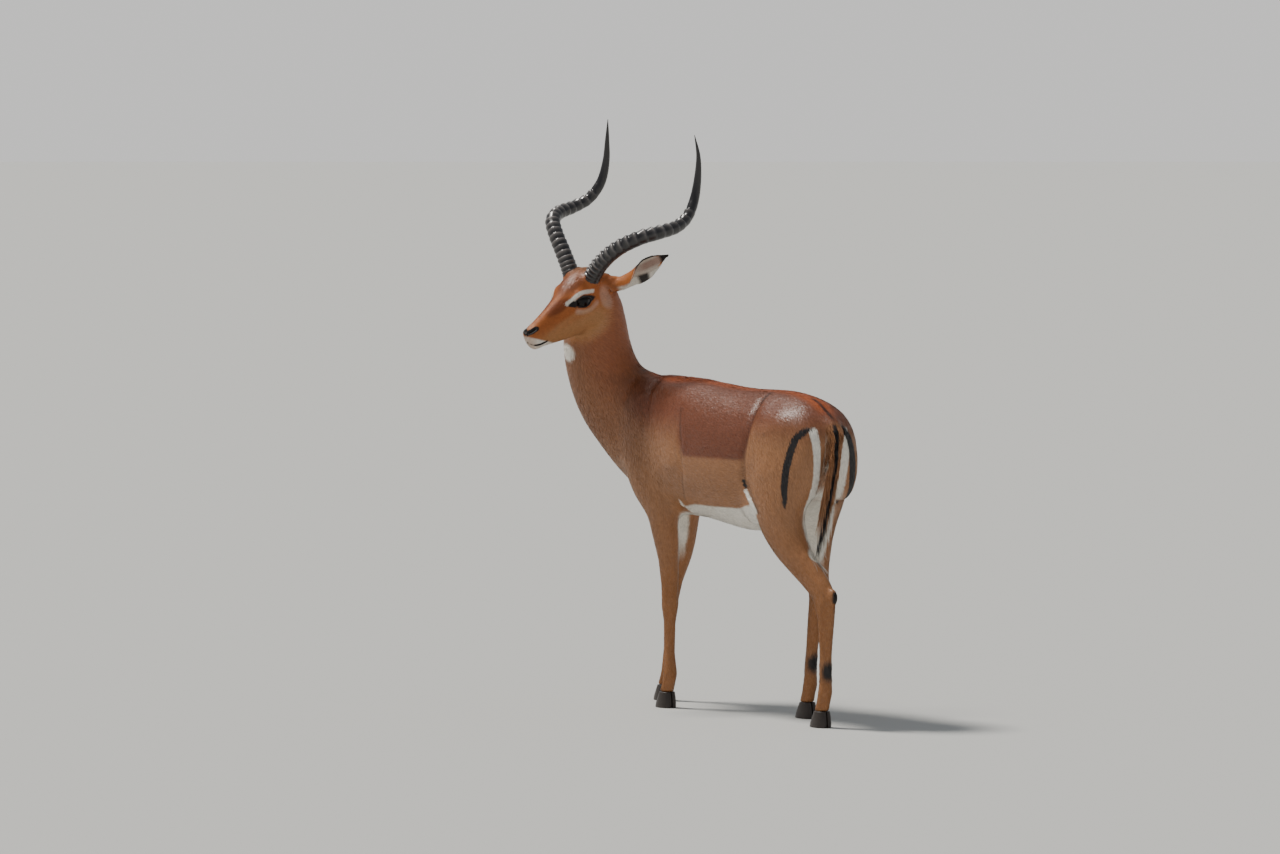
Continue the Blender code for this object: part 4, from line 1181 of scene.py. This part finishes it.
def painted(name, roughness, specular, scale, low, high, grain, fine):
    """A surface with its painted colours broken up by noise, and a grain where it has one."""
    made, tree, shader = material(name, roughness, specular)
    link = tree.links.new
    colour = node(tree, "Attribute", {})
    colour.attribute_name = "coat"
    place = node(tree, "TexCoord", {})
    noise = noise_at(tree, place, scale, 4.0)
    level = node(tree, "MapRange", {"To Min": low, "To Max": high})
    mix = node(tree, "Mix", {"Factor": 1.0})
    mix.data_type = "RGBA"
    mix.blend_type = "MULTIPLY"
    link(noise, level.inputs["Value"])
    link(colour.outputs["Color"], mix.inputs["A"])
    link(level.outputs["Result"], mix.inputs["B"])
    link(mix.outputs["Result"], shader.inputs["Base Color"])
    if grain:
        bump = node(tree, "Bump", {"Strength": grain, "Distance": GRAIN_DEPTH})
        link(noise_at(tree, place, fine, 3.0) if fine else noise, bump.inputs["Height"])
        link(bump.outputs["Normal"], shader.inputs["Normal"])
    return made, shader


def surfaces():
    """All painted surfaces by name."""
    made = {}
    for name, values in SURFACES.items():
        made[name], shader = painted(name, *values)
        if name == "Eye":
            shader.inputs["Coat Weight"].default_value = 0.12
            shader.inputs["Coat Roughness"].default_value = 0.03
    return made


# ---- horns, eyes, hooves
def horn(side, word):
    """A ringed horn: uneven ridges, strongest in front, crests pale from wear and a painted highlight,
    and a smooth tip.
    """
    path = smooth_path(from_head([on_side(place, side) for place in HORN]), HORN_RINGS)
    run = unit(np.gradient(path, axis=0))
    across = turn_from_head((0.0, 1.0, 0.0))[0]
    share = np.linspace(0.0, 1.0, HORN_RINGS)
    radius = HORN_BASE_RADIUS * np.maximum(1.0 - 0.44 * share - 0.53 * share ** 4, 0.035)
    # ridges crowd at the base and open out along the horn; each climbs slowly and drops fast
    phase = HORN_RIDGES * (share / HORN_RIDGED_SHARE) ** 0.66
    saw = phase % 1.0
    uneven = np.interp(phase, np.arange(HORN_RIDGES + 1), RNG.uniform(0.72, 1.12, HORN_RIDGES + 1))
    tooth = np.where(saw < HORN_CREST, (saw / HORN_CREST) ** 1.5,
                     ((1.0 - saw) / (1.0 - HORN_CREST)) ** 0.8)
    height = HORN_RIDGE_HEIGHT * ramp(share, 0.0, 0.04) * fall(share, *HORN_FADE)
    height = height * (1.0 - 0.3 * share / HORN_RIDGED_SHARE) * uneven
    turn = np.linspace(0.0, 2.0 * math.pi, HORN_SIDES, endpoint=False)
    front_side = turn_from_head((0.34, -0.15 * side, 0.93))[0]
    rows = []
    crest = []
    for index, centre in enumerate(path):
        across = squared(across, run[index])
        other = np.cross(run[index], across)
        spoke = np.cos(turn)[:, None] * across + np.sin(turn)[:, None] * other
        frontness = np.clip(0.5 + 0.5 * spoke @ front_side, 0.0, 1.0)
        wobble = 1.0 + 0.1 * np.sin(turn * 3.0 + index * 0.045)
        rise = 0.05 + 0.25 * share[index] + 1.15 * frontness ** 1.8
        rise = height[index] * tooth[index] * rise * wobble
        groove = 0.00025 * np.sin(turn * 14.0 + 0.6 * np.sin(index * 0.03)) * (1.0 - share[index])
        rows.append(centre + spoke * (radius[index] - height[index] * 0.38 + rise + groove)[:, None])
        # pale crests: partly worn horn, partly a painted highlight on the upper side
        crest.append(tooth[index] * (height[index] / HORN_RIDGE_HEIGHT) * frontness ** 1.5 * 1.25)
    made = make_mesh(f"horn_{word}_detail", *closed_tube(rows, path[0], path[-1] + run[-1] * 0.001))
    shade = np.append(np.concatenate(crest), (0.0, 0.0))[:, None]
    paint(made.data, HORN_DARK + (HORN_WEAR_AND_HIGHLIGHT - HORN_DARK) * np.clip(shade, 0.0, 1.0) ** 2.4 * 0.85)
    return made


def eyeball(side, word):
    """The eye with its iris and an oval pupil, a little raised in front."""
    centre, out, front, up = eye_axes(side)
    points, faces = ball((0.0, 0.0, 0.0), 1.0, 72, 96)
    x, y, z = points.T
    reach = EYE_RADIUS + EYE_BULGE * ramp(z, 0.72, 0.95)
    placed = centre + (front * x[:, None] + up * y[:, None] + out * z[:, None]) * reach[:, None]
    made = make_mesh(f"eye_{word}_detail", placed, faces)
    colour = np.tile(IRIS, (len(points), 1))
    lay = brush(colour)
    lay(PUPIL, fall(np.sqrt((x / PUPIL_LONG) ** 2 + (y / PUPIL_HIGH) ** 2), 0.9, 1.1))
    lay(EYE_RIM, ramp(np.sqrt(x ** 2 + y ** 2), 0.52, 0.66))
    paint(made.data, colour)
    return made


def hoof(name, forward, left, side):
    """One claw: flat within, narrow at the toe, with fine growth rings."""
    heights, *profiles = np.array(CLAW).T
    fine = np.concatenate(((0.0, 0.0007), np.linspace(0.0015, heights[-1], 26)))
    turn = np.linspace(0.0, 2.0 * math.pi, 40, endpoint=False)
    c = np.cos(turn)
    s = np.sin(turn)
    rings = []
    for height in fine:
        toe, heel, half_width = (np.interp(height, heights, profile) for profile in profiles)
        length = np.where(c > 0.0, toe, -heel) * np.sign(c) * np.abs(c) ** 0.9
        bulge = np.sign(s) * np.abs(s) ** 0.75
        taper = 1.0 - 0.55 * np.maximum(c, 0.0) ** 3
        width = half_width * (1.0 + bulge * taper)
        inner = CLAW_SPLIT + half_width * 0.35 * np.maximum(c, 0.0) ** 4
        across = np.maximum(inner * (0.5 - 0.5 * bulge) + width * (0.5 + 0.5 * bulge), CLAW_SPLIT)
        growth = 1.0 + 0.006 * math.sin(height * 1500.0) * min(height / 0.01, 1.0)
        rings.append(from_body(np.stack((forward + length * growth, left + side * across,
                                         np.full(len(turn), height)), 1)))
    points, faces = closed_tube(rings, rings[0].mean(0), rings[-1].mean(0))
    if side < 0.0:
        faces = [group[:, ::-1] for group in faces]
    made = make_mesh(name + "_detail", points, faces)
    paint(made.data, np.tile(HOOF, (len(points), 1)))
    return made


# ---- the scene
CAMERA_AZIMUTH = 144.0  # degrees round the model from its front
CAMERA_PITCH = 3.15
CAMERA_TARGET = (-0.0562, -0.271, 0.736)
CAMERA_DISTANCE = 18.84
CAMERA_LENS = 200.0
HORIZON = (0.776, 0.768, 0.755, 1.0)
ZENITH = (0.32, 0.345, 0.37, 1.0)
SKY_TURN = 0.35  # height of the look at which the sky is all zenith
SUN_FROM = (0.22, -0.4, 0.88)
SUN_STRENGTH = 4.2
SUN_BREADTH = 12.0  # degrees
SUN_COLOUR = (1.0, 0.96, 0.9)
FLOOR_COLOUR = (0.5, 0.5, 0.485, 1.0)
FLOOR_REACH = 400.0


def link_new(name, data):
    made = bpy.data.objects.new(name, data)
    bpy.context.scene.collection.objects.link(made)
    return made


def camera():
    azimuth = math.radians(CAMERA_AZIMUTH)
    pitch = math.radians(CAMERA_PITCH)
    back = Vector((math.sin(azimuth) * math.cos(pitch), -math.cos(azimuth) * math.cos(pitch),
                   math.sin(pitch)))
    data = bpy.data.cameras.new("Camera")
    data.lens = CAMERA_LENS
    data.sensor_width = 36.0
    data.clip_end = 100.0
    made = link_new("Camera", data)
    made.location = Vector(CAMERA_TARGET) + back * CAMERA_DISTANCE
    made.rotation_euler = (-back).to_track_quat("-Z", "Y").to_euler()
    bpy.context.scene.camera = made


def lights():
    """A pale sky that darkens upward, and a broad soft sun from the left rear."""
    world = bpy.data.worlds.new("World")
    world.use_nodes = True
    tree = world.node_tree
    link = tree.links.new
    place = node(tree, "TexCoord", {})
    parts = node(tree, "SeparateXYZ", {})
    sky = node(tree, "MapRange", {"From Max": SKY_TURN})
    sky.interpolation_type = "SMOOTHSTEP"
    tint = node(tree, "Mix", {6: HORIZON, 7: ZENITH})
    tint.data_type = "RGBA"
    link(place.outputs["Generated"], parts.inputs["Vector"])
    link(parts.outputs["Z"], sky.inputs["Value"])
    link(sky.outputs["Result"], tint.inputs["Factor"])
    link(tint.outputs[2], tree.nodes["Background"].inputs["Color"])
    bpy.context.scene.world = world
    sun = bpy.data.lights.new("Sun", "SUN")
    sun.energy = SUN_STRENGTH
    sun.angle = math.radians(SUN_BREADTH)
    sun.color = SUN_COLOUR
    link_new("Sun", sun).rotation_euler = Vector(SUN_FROM).to_track_quat("Z", "Y").to_euler()


def floor():
    corners = np.array(((-1.0, -1.0, 0.0), (1.0, -1.0, 0.0), (1.0, 1.0, 0.0), (-1.0, 1.0, 0.0)))
    made = make_mesh("floor", corners * FLOOR_REACH, np.array(((0, 1, 2, 3),)))
    surface, _, shader = material("Floor", 0.8, 0.2)
    shader.inputs["Base Color"].default_value = FLOOR_COLOUR
    made.data.materials.append(surface)


def build():
    skin = build_skin()
    subdivide_near(skin.data)
    sculpt_body(skin.data)
    sink(skin.data)
    sculpt_head(skin.data)
    skin.name = "skin"
    faces = faces_of(skin.data)
    thin_out(skin, SKIN_TRIANGLES)
    unwrap(skin)
    paint(skin.data, coat_colour(points_of(skin.data), normals_of(skin.data)))
    surface = surfaces()
    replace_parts(skin, *flesh_names())
    finished(skin, surface["Coat"])
    for side, word in SIDES:
        lids = make_mesh("lid_" + word, *lid_ring(side))
        paint(lids.data, np.tile(BLACK, (len(lids.data.vertices), 1)))
        finished(lids, surface["Coat"])
    skin_map = SkinMap(skin.data)
    short_coat(*faces, skin_map, surface["Hair"], surface["Down"])
    tail_locks(*faces, skin_map, surface["Hair"])
    for side, word in SIDES:
        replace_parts(finished(horn(side, word), surface["Horn"]), "horn_" + word)
        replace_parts(finished(eyeball(side, word), surface["Eye"]), "eye_" + word)
    for foot, (forward, left) in FEET.items():
        out = 1.0 if left > 0 else -1.0
        for side, word in ((out, "outer"), (-out, "inner")):
            name = f"hoof_{foot}_{word}"
            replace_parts(finished(hoof(name, forward, left, side), surface["Hoof"]), name)


build()
camera()
lights()
floor()
